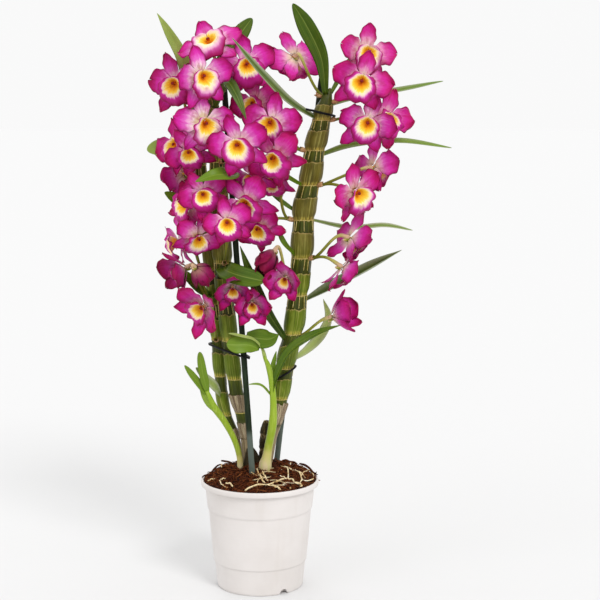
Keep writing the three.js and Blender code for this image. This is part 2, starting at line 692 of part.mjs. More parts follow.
function leafGeometry({ cane, height, path, ...shape }) {
  const points = path.map(vector);
  const level = points[0].clone().sub(caneAt(cane, height).at).setZ(0).normalize();
  const blank = bladeAlong({ path: [budOf(cane, height, level), ...points], ...shape });
  return geometryOf(solidOf(blank).subtract(caneRoom[cane]));
}

function shootGeometry({ stem, leaves: blades }) {
  const pieces = blades.map(({ path, ...shape }) => (
    bladeAlong({ path: path.map(vector), ...shape })
  ));
  return geometryOf(fused([stemGeometry(stem, 6), ...pieces]));
}

// ---------- pot, mound and roots ----------

function lathe(profile) {
  const points = profile.map(([r, z]) => new THREE.Vector2(r, z));
  return new THREE.LatheGeometry(points, pot.sides).rotateX(Math.PI / 2);
}

function notchGeometry(bearing) {
  const { width, topWidth, height, reach } = pot.notches;
  const outline = new THREE.Shape([
    new THREE.Vector2(-width / 2, -2),
    new THREE.Vector2(width / 2, -2),
    new THREE.Vector2(width / 2, 0),
    new THREE.Vector2(topWidth / 2, height),
    new THREE.Vector2(-topWidth / 2, height),
    new THREE.Vector2(-width / 2, 0),
  ]);
  const geometry = new THREE.ExtrudeGeometry(outline, { depth: 12, bevelEnabled: false });
  geometry.rotateX(Math.PI / 2).translate(0, -reach, 0);
  return geometry.rotateZ(THREE.MathUtils.degToRad(bearing));
}

function potGeometry() {
  const { rimRadius: rim, height } = pot;
  const outside = [
    [0, 0], [43.8, 0], [46.5, 26], [47.8, 28], [52.3, 80], [53.7, 83], [55.7, 103.5],
    [rim, 105], [rim, height - 0.7], [rim - 1, height],
  ];
  const body = solidOf(lathe([...outside, ...potInside, [0, pot.floor]]));
  return geometryOf(pot.notches.bearings.reduce(
    (rest, bearing) => rest.subtract(solidOf(notchGeometry(bearing))),
    body,
  ));
}

function moundHeight(x, y) {
  const reach = Math.min(Math.hypot(x, y) / mound.radius, 1);
  const crown = mound.edge + (mound.top - mound.edge) * (1 - reach * reach);
  return crown + mound.relief * Math.sin(x * 0.31 + 1) * Math.cos(y * 0.27) * (1 - reach ** 4);
}

function rootGeometries() {
  return roots.map(({ run, width }) => bar(run.map(([x, y]) => (
    { at: new THREE.Vector3(x, y, moundHeight(x, y) + width / 2 + 2 * seat), radius: width / 2 }
  )), 3));
}

// The coir fills the pot inside its wall, with a plain hole for whatever stands in it.
function moundGeometry() {
  const under = pot.floor + seat;
  const side = potInside.slice(1).reverse().map(([r, z]) => [r - seat * 1.5, Math.max(z, under)]);
  const crown = mound.rings.map((radius) => [radius, mound.top]);
  const geometry = lathe([[0, under], ...side, ...crown]);
  const point = geometry.attributes.position;
  for (let i = 0; i < point.count; i += 1) {
    if (point.getZ(i) > mound.edge) point.setZ(i, moundHeight(point.getX(i), point.getY(i)));
  }
  const stems = [
    ...Object.values(canes).map(({ line }) => [line.slice(0, 2), caneSides]),
    ...Object.values(stakes).map((stake) => [stakeRows(stake), 6]),
    ...shoots.map(({ stem }) => [stem.slice(0, 3), 6]),
    [stump.slice(0, 3), 6],
  ];
  const holes = stems.map(([rows, sides]) => {
    const [x, y, z, width] = rows[0];
    return stemGeometry([[x, y, z - seat, width], ...rows.slice(1)], sides, seat);
  });
  return geometryOf(holes.reduce(
    (rest, hole) => rest.subtract(solidOf(hole)),
    solidOf(geometry),
  ));
}

// ---------- the whole plant ----------

const group = new THREE.Group();

function add(name, geometry, material) {
  const mesh = new THREE.Mesh(geometry, material);
  mesh.name = name;
  group.add(mesh);
}

const onCane = (cane) => (height) => caneAt(cane, height);
const onStake = (side) => (height) => stakeAt(stakes[side], height);

const ties = [
  { name: 'tie_right_high', height: 481, slope: -0.24, round: [onCane('right'), onStake('right')],
    from: 9, tail: [[-17, 0, 4], [18, 0, -4]] },
  { name: 'tie_right_low', height: 216, slope: 0.6, round: [onCane('right'), onStake('right')],
    from: 8, tail: [[1, 0, 1], [-8, -3, -9]] },
  { name: 'tie_left_high', height: 450, slope: -0.1, round: [onCane('front'), onStake('left')],
    from: 10, tail: [[-1, 0, 0], [9, -2, -2]] },
  { name: 'tie_left_low', height: 240, slope: -0.2,
    round: [onCane('front'), onCane('rear'), onStake('left')],
    from: 10, tail: [[-1, 0, 0], [9, -2, -2]] },
];

add('pot', potGeometry(), finishes.pot);
add('substrate', moundGeometry(), finishes.coir);
add('roots', geometryOf(fused(rootGeometries())), finishes.root);
for (const [side, stake] of Object.entries(stakes)) {
  add(`stake_${side}`, stemGeometry(stakeRows(stake), 6), finishes.stake);
}
for (const wire of ties) add(wire.name, tieGeometry(wire), finishes.tie);
for (const cane of Object.keys(canes)) add(`cane_${cane}`, caneGeometry(cane), finishes.cane);
add('stump', stemGeometry(stump, 6), finishes.stump);
for (const shoot of shoots) add(shoot.name, shootGeometry(shoot), finishes.shoot);
for (const leaf of leaves) add(leaf.name, leafGeometry(leaf), finishes.leaf);
for (const spray of sprays) add(spray.name, sprayGeometry(spray), finishes.bloom);

export default group;
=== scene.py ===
# A dendrobium orchid in its nursery pot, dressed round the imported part.
# Sizes are in millimetres until a mesh is made; +Z is up and -Y is the front.
import math
import random

import bpy
import numpy as np
from mathutils import Matrix, Vector, noise


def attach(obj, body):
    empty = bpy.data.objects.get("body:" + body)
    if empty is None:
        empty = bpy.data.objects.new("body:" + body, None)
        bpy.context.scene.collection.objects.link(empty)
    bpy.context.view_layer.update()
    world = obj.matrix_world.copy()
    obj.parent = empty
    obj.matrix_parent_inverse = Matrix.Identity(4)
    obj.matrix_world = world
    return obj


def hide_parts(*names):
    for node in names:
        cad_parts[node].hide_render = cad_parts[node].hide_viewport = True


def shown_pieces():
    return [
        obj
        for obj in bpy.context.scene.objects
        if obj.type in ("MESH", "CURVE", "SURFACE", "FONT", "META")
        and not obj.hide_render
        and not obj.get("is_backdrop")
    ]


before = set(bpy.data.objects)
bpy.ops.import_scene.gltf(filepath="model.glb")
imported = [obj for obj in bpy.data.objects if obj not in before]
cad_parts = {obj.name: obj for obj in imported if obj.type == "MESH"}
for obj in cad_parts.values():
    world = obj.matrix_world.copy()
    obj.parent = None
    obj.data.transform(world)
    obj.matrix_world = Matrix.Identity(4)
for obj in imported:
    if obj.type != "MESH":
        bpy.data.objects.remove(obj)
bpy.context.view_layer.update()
print("frame loaded:", len(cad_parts), "nodes")

toMetres = 0.001
up = np.array((0.0, 0.0, 1.0))
besideEdge = 0.75  # a thin sheet's thickness beside its long edges, as a share


def unit(v):
    v = np.asarray(v, float)
    return v / max(np.linalg.norm(v), 1e-9)


def ease(value, low, high):  # 0 below low, 1 above high, smooth between
    t = np.clip((np.asarray(value, float) - low) / (high - low), 0, 1)
    return t * t * (3 - 2 * t)


def smoothPath(knots, count):  # evenly spaced points on a smooth curve through the knots
    knots = np.array(knots, float)
    gaps = np.sqrt(np.maximum(np.linalg.norm(np.diff(knots[:, :3], axis=0), axis=1), 1e-6))
    slopes = np.diff(knots, axis=0) / gaps[:, None]
    inner = (slopes[1:] * gaps[:-1, None] + slopes[:-1] * gaps[1:, None]) / (gaps[1:] + gaps[:-1])[:, None]
    tangents = np.vstack([slopes[:1], inner, slopes[-1:]])
    t = np.linspace(0, 1, 24, endpoint=False)[:, None]
    dense = []
    for i, gap in enumerate(gaps):
        start, end = knots[i], knots[i + 1]
        dense.append((2 * t**3 - 3 * t**2 + 1) * start + (t**3 - 2 * t**2 + t) * gap * tangents[i]
                     + (3 * t**2 - 2 * t**3) * end + (t**3 - t**2) * gap * tangents[i + 1])
    dense = np.vstack(dense + [knots[-1:]])
    run = np.concatenate([[0], np.cumsum(np.linalg.norm(np.diff(dense[:, :3], axis=0), axis=1))])
    even = np.linspace(0, run[-1], count)
    return np.column_stack([np.interp(even, run, dense[:, k]) for k in range(dense.shape[1])])


def roundAngles(count):
    return np.linspace(0, 2 * math.pi, count, endpoint=False)


def ray(angle):  # level, straight out from the middle of something round
    return np.array((math.cos(angle), math.sin(angle), 0))


def turned(profile, sides):  # rows of a turned shape, from its profile of radius and height
    return np.array([[(r * math.cos(a), r * math.sin(a), z) for a in roundAngles(sides)] for r, z in profile])


def addObject(name, data):
    made = bpy.data.objects.new(name, data)
    bpy.context.scene.collection.objects.link(made)
    return made


def setMark(mesh, label, values, kind='FLOAT', field='value'):
    mesh.attributes.new(label, kind, 'POINT').data.foreach_set(field, values)


def makeObject(name, points, faces, marks=None, finish=None, smooth=True):
    mesh = bpy.data.meshes.new(name)
    mesh.from_pydata((np.asarray(points) * toMetres).tolist(), [], [list(map(int, f)) for f in faces])
    for label, values in (marks or {}).items():
        setMark(mesh, label, np.asarray(values, np.float32))
    mesh.polygons.foreach_set('use_smooth', [smooth] * len(mesh.polygons))
    if finish:
        mesh.materials.append(finish)
    mesh.update()
    return addObject(name, mesh)


def joined(name, parts):  # parts are (points, faces, marks) with the same mark names
    points, faces, marks, offset = [], [], {}, 0
    for partPoints, partFaces, partMarks in parts:
        points.append(partPoints)
        faces += [[index + offset for index in face] for face in partFaces]
        for label, values in partMarks.items():
            marks.setdefault(label, []).append(np.asarray(values, float))
        offset += len(partPoints)
    return name, np.vstack(points), faces, {label: np.concatenate(v) for label, v in marks.items()}


def sheetMarks(across, reach):  # from side to side, and from foot to tip
    return {'side': np.tile(across, (len(reach), 1)), 'reach': np.tile(reach[:, None], (1, len(across)))}


def shell(grid, thickness, marks):  # a closed thin sheet from rows x cols of points
    rows, cols = grid.shape[:2]
    normal = np.cross(np.gradient(grid, axis=1), np.gradient(grid, axis=0))
    normal /= np.maximum(np.linalg.norm(normal, axis=2, keepdims=True), 1e-9)
    border = np.zeros((rows, cols), bool)
    border[[0, -1], :] = True
    border[:, [0, -1]] = True
    half = np.full((rows, cols), thickness / 2)
    half[1:-1, [1, -2]] *= besideEdge
    front = (grid + normal * np.where(border, 0, half)[..., None]).reshape(-1, 3)
    back = (grid - normal * half[..., None])[~border]
    upper = np.arange(rows * cols).reshape(rows, cols)
    under = upper.copy()
    under[~border] = rows * cols + np.arange(len(back))
    faces = []
    for i in range(rows - 1):
        for j in range(cols - 1):
            faces.append([upper[i, j], upper[i, j + 1], upper[i + 1, j + 1], upper[i + 1, j]])
            faces.append([under[i, j], under[i + 1, j], under[i + 1, j + 1], under[i, j + 1]])
    full = {label: np.concatenate([v.ravel(), v[~border]]) for label, v in marks.items()}
    full['under'] = np.concatenate([np.where(border, 0.5, 0).ravel(), np.ones(len(back))])
    return np.vstack([front, back]), faces, full


def tubeFaces(rows, cols, sleeve=False):  # the last row of a sleeve joins its first
    index = np.arange(rows * cols).reshape(rows, cols)
    faces = []
    for i in range(rows if sleeve else rows - 1):
        for j in range(cols):
            k, above = (j + 1) % cols, (i + 1) % rows
            faces.append([index[i, j], index[i, k], index[above, k], index[above, j]])
    return faces


def ringed(grid, marks, capped=True):  # a closed tube from rows x cols of points, cols wrapping round
    rows, cols = grid.shape[:2]
    points, faces = grid.reshape(-1, 3), tubeFaces(rows, cols, sleeve=not capped)
    full = {label: np.asarray(v, float).ravel() for label, v in marks.items()}
    if capped:
        points = np.vstack([points, grid[0].mean(0), grid[-1].mean(0)])
        last = (rows - 1) * cols
        for j in range(cols):
            k = (j + 1) % cols
            faces.append([k, j, rows * cols])
            faces.append([last + j, last + k, rows * cols + 1])
        full = {label: np.concatenate([v, [v[0], v[-1]]]) for label, v in full.items()}
    return points, faces, full


def put(tree, kind, links=None, **settings):  # a new node, with what is linked to it or set on it
    made = tree.nodes.new(kind)
    for key, value in settings.items():
        setattr(made, key, value)
    for socket, value in (links or {}).items():
        if isinstance(value, bpy.types.NodeSocket):
            tree.links.new(value, made.inputs[socket])
        else:
            made.inputs[socket].default_value = value
    return made


def result(tree, kind, links=None, **settings):  # the first output of a new node
    return put(tree, kind, links, **settings).outputs[0]


def triple(tree, x, y, z):
    return result(tree, 'ShaderNodeCombineXYZ', {0: x, 1: y, 2: z})


def maths(operation, first, second=0.0):
    return result(first.id_data, 'ShaderNodeMath', {0: first, 1: second}, operation=operation)


def times(first, second):
    return maths('MULTIPLY', first, second)


def plus(first, second):
    return maths('ADD', first, second)


def minus(first, second):
    return maths('SUBTRACT', first, second)


def linear(colour):  # red, green and blue from 0 to 255 as a shader wants them; a socket stays itself
    if isinstance(colour, bpy.types.NodeSocket):
        return colour
    shares = [c / 255 for c in colour]
    return (*(c / 12.92 if c <= 0.04045 else ((c + 0.055) / 1.055) ** 2.4 for c in shares), 1)


def fade(value, low, high, start=0.0, end=1.0):
    links = {'Value': value, 'From Min': low, 'From Max': high, 'To Min': start, 'To Max': end}
    return result(value.id_data, 'ShaderNodeMapRange', links, interpolation_type='SMOOTHSTEP')


def mixed(factor, first, second):
    links = {0: factor, 6: linear(first), 7: linear(second)}
    return put(factor.id_data, 'ShaderNodeMix', links, data_type='RGBA').outputs[2]


def ramp(value, stops):  # stops are rows of place, red, green and blue
    made = put(value.id_data, 'ShaderNodeValToRGB', {0: value})
    made.color_ramp.interpolation = 'EASE'
    elements = made.color_ramp.elements
    while len(elements) < len(stops):
        elements.new(0.5)
    for element, (position, *colour) in zip(elements, stops):
        element.position = position
        element.color = linear(colour)
    return made.outputs[0]


def mark(tree, label):
    return put(tree, 'ShaderNodeAttribute', attribute_name=label).outputs['Fac']


def place(tree, scale=(1, 1, 1)):
    coordinates = put(tree, 'ShaderNodeTexCoord').outputs['Object']
    return result(tree, 'ShaderNodeMapping', {'Vector': coordinates, 'Scale': scale})


def heightOf(tree):  # above the table, in metres
    return put(tree, 'ShaderNodeSeparateXYZ', {0: place(tree)}).outputs[2]


def onSheet(first, firstScale, second, secondScale, third=0.0):
    return triple(first.id_data, times(first, firstScale), times(second, secondScale), third)


def roundStem(tree, turns, rise):  # a place on a stem's skin that meets itself all the way round
    height = plus(times(mark(tree, 'height'), rise), times(mark(tree, 'rung'), 7.3))
    return triple(tree, times(mark(tree, 'roundX'), turns), times(mark(tree, 'roundY'), turns), height)


def cloud(vector, scale, detail=3.0, roughness=0.55):
    links = {'Vector': vector, 'Scale': scale, 'Detail': detail, 'Roughness': roughness}
    return result(vector.id_data, 'ShaderNodeTexNoise', links)


def newFinish(name, roughness, gloss, sheen=0):
    material = bpy.data.materials.new(name)
    material.use_nodes = True
    inputs = material.node_tree.nodes['Principled BSDF'].inputs
    for label, value in (('Roughness', roughness), ('Specular IOR Level', gloss), ('Sheen Weight', sheen)):
        inputs[label].default_value = value
    return material, material.node_tree


def coated(material, colour, height, strength, distance):  # a colour, and relief as deep as distance
    tree = material.node_tree
    inputs = tree.nodes['Principled BSDF'].inputs
    tree.links.new(colour, inputs['Base Color'])
    links = {'Height': height, 'Strength': strength, 'Distance': distance}
    tree.links.new(result(tree, 'ShaderNodeBump', links), inputs['Normal'])
    return material


def newTree(name, **sockets):  # a geometry tree with named inputs; returns it and its input node
    tree = bpy.data.node_groups.new(name, 'GeometryNodeTree')
    tree.is_modifier = True
    tree.interface.new_socket('Geometry', in_out='INPUT', socket_type='NodeSocketGeometry')
    for label, kind in sockets.items():
        tree.interface.new_socket(label, in_out='INPUT', socket_type='NodeSocket' + kind)
    tree.interface.new_socket('Geometry', in_out='OUTPUT', socket_type='NodeSocketGeometry')
    return tree, tree.nodes.new('NodeGroupInput').outputs


def closeTree(tree, geometry, finish):  # every tree ends the same way
    real = result(tree, 'GeometryNodeRealizeInstances', {'Geometry': geometry})
    dressed = result(tree, 'GeometryNodeSetMaterial', {'Geometry': real, 'Material': finish})
    put(tree, 'NodeGroupOutput', {'Geometry': dressed})
    return tree


def named(tree, label, kind='FLOAT'):
    return result(tree, 'GeometryNodeInputNamedAttribute', {'Name': label}, data_type=kind)


def stored(tree, geometry, label, value, domain):
    links = {'Geometry': geometry, 'Name': label, 'Value': value}
    return result(tree, 'GeometryNodeStoreNamedAttribute', links, data_type='FLOAT', domain=domain)


def placed(tree, points, shapes, rotation, size, **choice):  # one of a collection's shapes on each point
    shape = result(tree, 'GeometryNodeCollectionInfo', {
        'Collection': shapes, 'Separate Children': True, 'Reset Children': True,
    })
    return result(tree, 'GeometryNodeInstanceOnPoints', {
        'Points': points, 'Instance': shape, 'Pick Instance': True, 'Rotation': rotation, 'Scale': size,
        **choice,
    })


def grow(piece, tree, **values):  # runs a tree on a piece and keeps the result as its plain mesh
    modifier = piece.modifiers.new(tree.name, 'NODES')
    modifier.node_group = tree
    names = {s.name: s.identifier for s in tree.interface.items_tree if s.in_out == 'INPUT'}
    for label, value in values.items():
        modifier[names[label]] = value
    piece.update_tag()
    bpy.context.view_layer.update()
    graph = bpy.context.evaluated_depsgraph_get()
    grown = piece.evaluated_get(graph)
    mesh = bpy.data.meshes.new_from_object(grown, preserve_all_data_layers=True, depsgraph=graph)
    piece.modifiers.remove(modifier)
    piece.data = mesh
    mesh.name = piece.name
    return piece


def makeBarTree():  # a round bar along each path, as thick as its points say
    tree, given = newTree('roundBar', Sides='Int', Step='Float', Finish='Material')
    curve = result(tree, 'GeometryNodeMeshToCurve', {'Mesh': given['Geometry']})
    curve = result(tree, 'GeometryNodeCurveSplineType', {'Curve': curve}, spline_type='CATMULL_ROM')
    spaced = {'Curve': curve, 'Length': given['Step']}
    curve = result(tree, 'GeometryNodeResampleCurve', spaced, mode='LENGTH')
    factor = put(tree, 'GeometryNodeSplineParameter').outputs['Factor']
    curve = stored(tree, curve, 'along', factor, 'POINT')
    section = result(tree, 'GeometryNodeCurvePrimitiveCircle', {'Resolution': given['Sides'], 'Radius': 1.0})
    bar = result(tree, 'GeometryNodeCurveToMesh', {
        'Curve': curve, 'Profile Curve': section, 'Scale': named(tree, 'thickness'), 'Fill Caps': True,
    })
    bar = result(tree, 'GeometryNodeSetShadeSmooth', {'Geometry': bar, 'Shade Smooth': True})
    return closeTree(tree, bar, given['Finish'])


def makePlacingTree():  # shapes turned, sized and picked as each point says
    tree, given = newTree('placedShapes', Shapes='Collection', Finish='Material')
    rotation = result(tree, 'FunctionNodeEulerToRotation', {0: named(tree, 'turn', 'FLOAT_VECTOR')})
    shapes = placed(tree, given['Geometry'], given['Shapes'], rotation, named(tree, 'size'),
                    **{'Instance Index': named(tree, 'variant', 'INT')})
    return closeTree(tree, shapes, given['Finish'])


def makeScatterTree():  # bits strewn over a surface, lying close to it
    tree, given = newTree('strewnBits', Bits='Collection', Density='Float', Seed='Int', Smallest='Float',
                          Largest='Float', Tilt='Float', Lift='Float', Finish='Material')
    spread = put(tree, 'GeometryNodeDistributePointsOnFaces', {
        'Mesh': given['Geometry'], 'Density': given['Density'], 'Seed': given['Seed'],
    })
    lean = times(given['Tilt'], -1.0)
    span = {0: triple(tree, lean, lean, 0.0), 1: triple(tree, given['Tilt'], given['Tilt'], 2 * math.pi)}
    turn = result(tree, 'FunctionNodeRandomValue', {**span, 'Seed': given['Seed']}, data_type='FLOAT_VECTOR')
    turn = result(tree, 'FunctionNodeEulerToRotation', {0: turn})
    links = {'Rotation': spread.outputs['Rotation'], 'Rotate By': turn}
    rotation = result(tree, 'FunctionNodeRotateRotation', links, rotation_space='LOCAL')
    span = {2: given['Smallest'], 3: given['Largest'], 'Seed': given['Seed']}
    size = put(tree, 'FunctionNodeRandomValue', span).outputs[1]
    points = result(tree, 'GeometryNodeSetPosition', {
        'Geometry': spread.outputs[0], 'Offset': triple(tree, 0.0, 0.0, given['Lift']),
    })
    bits = placed(tree, points, given['Bits'], rotation, size)
    shade = put(tree, 'FunctionNodeRandomValue', {2: 0.0, 3: 1.0, 'Seed': 7}).outputs[1]
    return closeTree(tree, stored(tree, bits, 'shade', shade, 'INSTANCE'), given['Finish'])


barTree = makeBarTree()
placingTree = makePlacingTree()
scatterTree = makeScatterTree()


def makeBars(name, paths, sides, step, finish, closed=False):  # paths are lists of (x, y, z, radius)
    points, edges, thickness = [], [], []
    for path in paths:
        first = len(points)
        points += [list(p[:3]) for p in path]
        thickness += [p[3] * toMetres for p in path]
        edges += [(i, i + 1) for i in range(first, len(points) - 1)]
        if closed:
            edges.append((len(points) - 1, first))
    mesh = bpy.data.meshes.new(name)
    mesh.from_pydata((np.array(points) * toMetres).tolist(), edges, [])
    setMark(mesh, 'thickness', thickness)
    return grow(addObject(name, mesh), barTree, Sides=sides, Step=step * toMetres, Finish=finish)


def makePlaced(name, spots, shapes, finish):  # spots are dicts: at, axes (3 columns), size, variant, marks
    mesh = bpy.data.meshes.new(name)
    mesh.from_pydata([tuple(np.array(s['at']) * toMetres) for s in spots], [], [])
    turns = [Matrix(np.array(s['axes']).T.tolist()).to_euler() for s in spots]
    setMark(mesh, 'turn', [a for t in turns for a in t], 'FLOAT_VECTOR', 'vector')
    setMark(mesh, 'size', [s['size'] for s in spots])
    setMark(mesh, 'variant', [s['variant'] for s in spots], 'INT')
    for label in spots[0]['marks']:
        setMark(mesh, label, [s['marks'][label] for s in spots])
    return grow(addObject(name, mesh), placingTree, Shapes=shapes, Finish=finish)


def collect(name, objects):  # keeps master shapes out of the scene
    kept = bpy.data.collections.new(name)
    for made in objects:
        kept.objects.link(made)
        bpy.context.scene.collection.objects.unlink(made)
    return kept


def merge(name, objects):  # joins made objects into one piece
    bpy.ops.object.select_all(action='DESELECT')
    for made in objects:
        made.select_set(True)
    bpy.context.view_layer.objects.active = objects[0]
    bpy.ops.object.join()
    objects[0].name = name
    objects[0].data.name = name
    return objects[0]


def settle(piece, slot, *nodes):  # every piece rides the one body
    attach(piece, "root")
    if nodes:
        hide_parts(*nodes)


# The place is in metres, the pitch in degrees, and the lens and the sensor in mm.
view = {'at': (0.041, -1.5, 0.5), 'pitch': 82.2, 'lens': 90.3, 'sensor': 36}

cameraData = bpy.data.cameras.new('camera')
cameraData.sensor_width = view['sensor']
cameraData.lens = view['lens']
camera = addObject('camera', cameraData)
camera.location = view['at']
camera.rotation_euler = (math.radians(view['pitch']), 0, 0)
bpy.context.scene.camera = camera
bpy.context.scene.view_settings.view_transform = 'Standard'

lights = {  # strength, turn of the light's heading from straight down, and softness in degrees
    'keyLight': {'strength': 1.15, 'lean': (50, 0, 30), 'softness': 20},
    'fillLight': {'strength': 0.25, 'lean': (58, 0, -52), 'softness': 40},
    'backLight': {'strength': 0.4, 'lean': (-48, 0, 20), 'softness': 40},
}
for name, light in lights.items():
    lamp = bpy.data.lights.new(name, 'SUN')
    lamp.energy = light['strength']
    lamp.angle = math.radians(light['softness'])
    addObject(name, lamp).rotation_euler = [math.radians(a) for a in light['lean']]

studio = {'backdrop': (1, 1, 1, 1), 'brightness': 0.95, 'floor': (0.73, 0.73, 0.73, 1), 'floorReach': 20000}
world = bpy.data.worlds.new('studio')
world.use_nodes = True
backdrop = world.node_tree.nodes['Background'].inputs
backdrop['Color'].default_value = studio['backdrop']
backdrop['Strength'].default_value = studio['brightness']
bpy.context.scene.world = world

floorFinish, floorTree = newFinish('paleFloor', 0.9, 0)
floorTree.nodes['Principled BSDF'].inputs['Base Color'].default_value = studio['floor']
far = studio['floorReach']
corners = [(-far, -far, 0), (far, -far, 0), (far, far, 0), (-far, far, 0)]
floor = makeObject('floor', corners, [[0, 1, 2, 3]], finish=floorFinish, smooth=False)
floor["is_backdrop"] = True
print("camera, lights and floor")


def makePotFinish():
    material, tree = newFinish('potPlastic', 0.42, 0.3)
    spot = place(tree)
    wide = cloud(spot, 18.0, 4.0)
    fine = cloud(spot, 260.0)
    streaks = cloud(place(tree, (60, 60, 4)), 1.0)
    colour = mixed(fade(wide, 0.3, 0.75), (223, 218, 215), (214, 208, 204))
    colour = mixed(fade(streaks, 0.55, 0.8, 0, 0.35), colour, (208, 201, 194))
    roughness = fade(fine, 0.2, 0.8, 0.36, 0.52)
    tree.links.new(roughness, tree.nodes['Principled BSDF'].inputs['Roughness'])
    turning = cloud(place(tree, (2, 2, 420)), 1.0, 2.0)
    return coated(material, colour, plus(turning, times(fine, 0.4)), 0.18, 0.0004)


def makeCoirFinish(name, dark, middle, light):
    material, tree = newFinish(name, 0.92, 0.12)
    spot = place(tree)
    coarse = cloud(spot, 160.0, 6.0, 0.65)
    fine = cloud(spot, 900.0, 4.0, 0.6)
    blend = plus(times(coarse, 0.65), times(fine, 0.35))
    # darkest where the relief is lowest: partly darker fibre, partly painted shade in the gaps between fibres
    colour = ramp(blend, [(0.34, *dark), (0.52, *middle), (0.74, *light)])
    colour = mixed(fade(mark(tree, 'shade'), 0.7, 1.0, 0, 0.55), colour, light)
    return coated(material, colour, blend, 0.8, 0.002)


def makeRootFinish():
    material, tree = newFinish('rootSkin', 0.62, 0.2)
    spot = place(tree)
    patches = cloud(spot, 70.0, 4.0, 0.6)
    fine = cloud(spot, 700.0)
    colour = ramp(patches, [
        (0.28, 140, 100, 50), (0.40, 206, 172, 116), (0.53, 238, 218, 172), (0.70, 250, 244, 222),
    ])
    colour = mixed(fade(fine, 0.45, 0.72, 0, 0.6), colour, (122, 82, 44))
    return coated(material, colour, fine, 0.4, 0.0006)


def makeStakeFinish():
    material, tree = newFinish('stakeSkin', 0.5, 0.12)
    grain = cloud(place(tree, (900, 900, 12)), 1.0, 4.0)
    patches = cloud(place(tree), 35.0, 4.0)
    dust = times(fade(heightOf(tree), 0.164, 0.154), fade(patches, 0.25, 0.6, 0.6, 1.0))
    colour = ramp(grain, [(0.3, 16, 26, 16), (0.55, 32, 44, 28), (0.8, 56, 68, 46)])
    colour = mixed(times(dust, 0.8), colour, (96, 106, 98))
    return coated(material, colour, grain, 0.3, 0.0005)


def makeWireFinish():
    material, tree = newFinish('tieCoating', 0.38, 0.15)
    fine = cloud(place(tree), 600.0)
    colour = mixed(fade(fine, 0.4, 0.8), (6, 8, 7), (24, 27, 25))
    return coated(material, colour, fine, 0.2, 0.0003)


def makeCaneFinish():  # bare stem: dark green with a beige ring at each joint, pale brown where it is old
    material, tree = newFinish('caneSkin', 0.38, 0.25)
    height = mark(tree, 'height')
    lines = cloud(roundStem(tree, 7.5, 1.2), 1.0)
    patches = cloud(place(tree), 60.0, 4.0)
    colour = ramp(lines, [(0.3, 46, 54, 2), (0.5, 66, 76, 5), (0.72, 98, 106, 22)])
    colour = mixed(fade(patches, 0.5, 0.8, 0, 0.4), colour, (84, 92, 18))
    colour = mixed(fade(height, 0.96, 0.75, 0, 0.4), colour, (42, 46, 3))
    dots = fade(cloud(roundStem(tree, 15.0, 6.0), 1.0, 2.0), 0.35, 0.6, 0.35, 1.0)
    ring = fade(mark(tree, 'ring'), 0.25, 0.75)
    colour = mixed(times(ring, dots), colour, (206, 186, 104))
    old = ramp(lines, [(0.3, 84, 64, 40), (0.5, 140, 122, 92), (0.72, 186, 170, 138)])
    colour = mixed(mark(tree, 'aged'), colour, old)
    return coated(material, colour, lines, 0.5, 0.0006)


def makeSheathFinish():  # olive, greener low down, ribbed lengthwise; netted paper where it is old
    material, tree = newFinish('sheathPaper', 0.46, 0.2)
    share, around = mark(tree, 'height'), roundStem(tree, 11.0, 0.7)
    ribs = cloud(around, 1.0, 2.0, 0.5)
    broad = cloud(roundStem(tree, 1.5, 1.6), 1.0)
    dry = ramp(broad, [(0.3, 82, 76, 20), (0.5, 106, 100, 34), (0.7, 132, 124, 54)])
    fresh = ramp(broad, [(0.3, 70, 88, 4), (0.5, 94, 112, 14), (0.7, 122, 136, 40)])
    colour = mixed(fade(heightOf(tree), 0.300, 0.365), fresh, dry)
    colour = mixed(fade(ribs, 0.56, 0.70, 0, 0.65), colour, (178, 174, 92))
    colour = mixed(fade(ribs, 0.44, 0.32, 0, 0.55), colour, (62, 66, 10))
    foot = times(fade(share, 0.13, 0.0), fade(ribs, 0.44, 0.58, 0.1, 1.0))
    colour = mixed(foot, colour, (206, 190, 84))
    brim = times(fade(mark(tree, 'tear'), 0.93, 1.0), fade(ribs, 0.35, 0.6, 0.3, 0.9))
    colour = mixed(brim, colour, (176, 154, 92))
    net = result(tree, 'ShaderNodeTexVoronoi', {'Vector': around, 'Scale': 1.1}, feature='DISTANCE_TO_EDGE')
    paper = ramp(ribs, [(0.32, 78, 60, 44), (0.5, 120, 99, 76), (0.66, 156, 136, 108)])
    paper = mixed(fade(net, 0.06, 0.02, 0, 0.8), paper, (214, 200, 168))
    colour = mixed(mark(tree, 'aged'), colour, paper)
    return coated(material, colour, ribs, 0.6, 0.0008)


def makeLeafFinish():  # tone runs from dark green through fresh green to pale; grey dulls it
    material, tree = newFinish('leafSkin', 0.36, 0.22)
    side, reach, tone = (mark(tree, label) for label in ('side', 'reach', 'tone'))
    aside = maths('ABSOLUTE', side)
    veins = cloud(onSheet(side, 11.0, reach, 0.7), 1.0, 2.0)
    patches = cloud(place(tree), 45.0, 4.0)
    colour = ramp(tone, [
        (0.0, 30, 52, 2), (0.25, 56, 84, 4), (0.5, 86, 118, 14),
        (0.75, 120, 148, 44), (1.0, 168, 184, 104),
    ])
    colour = mixed(fade(patches, 0.35, 0.75, 0, 0.3), colour, (104, 122, 14))
    colour = mixed(fade(veins, 0.5, 0.7, 0, 0.25), colour, (140, 158, 56))
    colour = mixed(fade(aside, 0.07, 0.01, 0, 0.35), colour, (166, 182, 84))
    colour = mixed(fade(mark(tree, 'under'), 0.5, 1.0, 0, 0.5), colour, (120, 140, 64))
    pale = times(mark(tree, 'grey'), fade(aside, 0.25, 0.85, 0.1, 1.0))
    colour = mixed(pale, colour, (176, 182, 150))
    colour = mixed(fade(aside, 0.95, 1.0, 0, 0.45), colour, (76, 82, 30))
    return coated(material, colour, veins, 0.35, 0.0006)


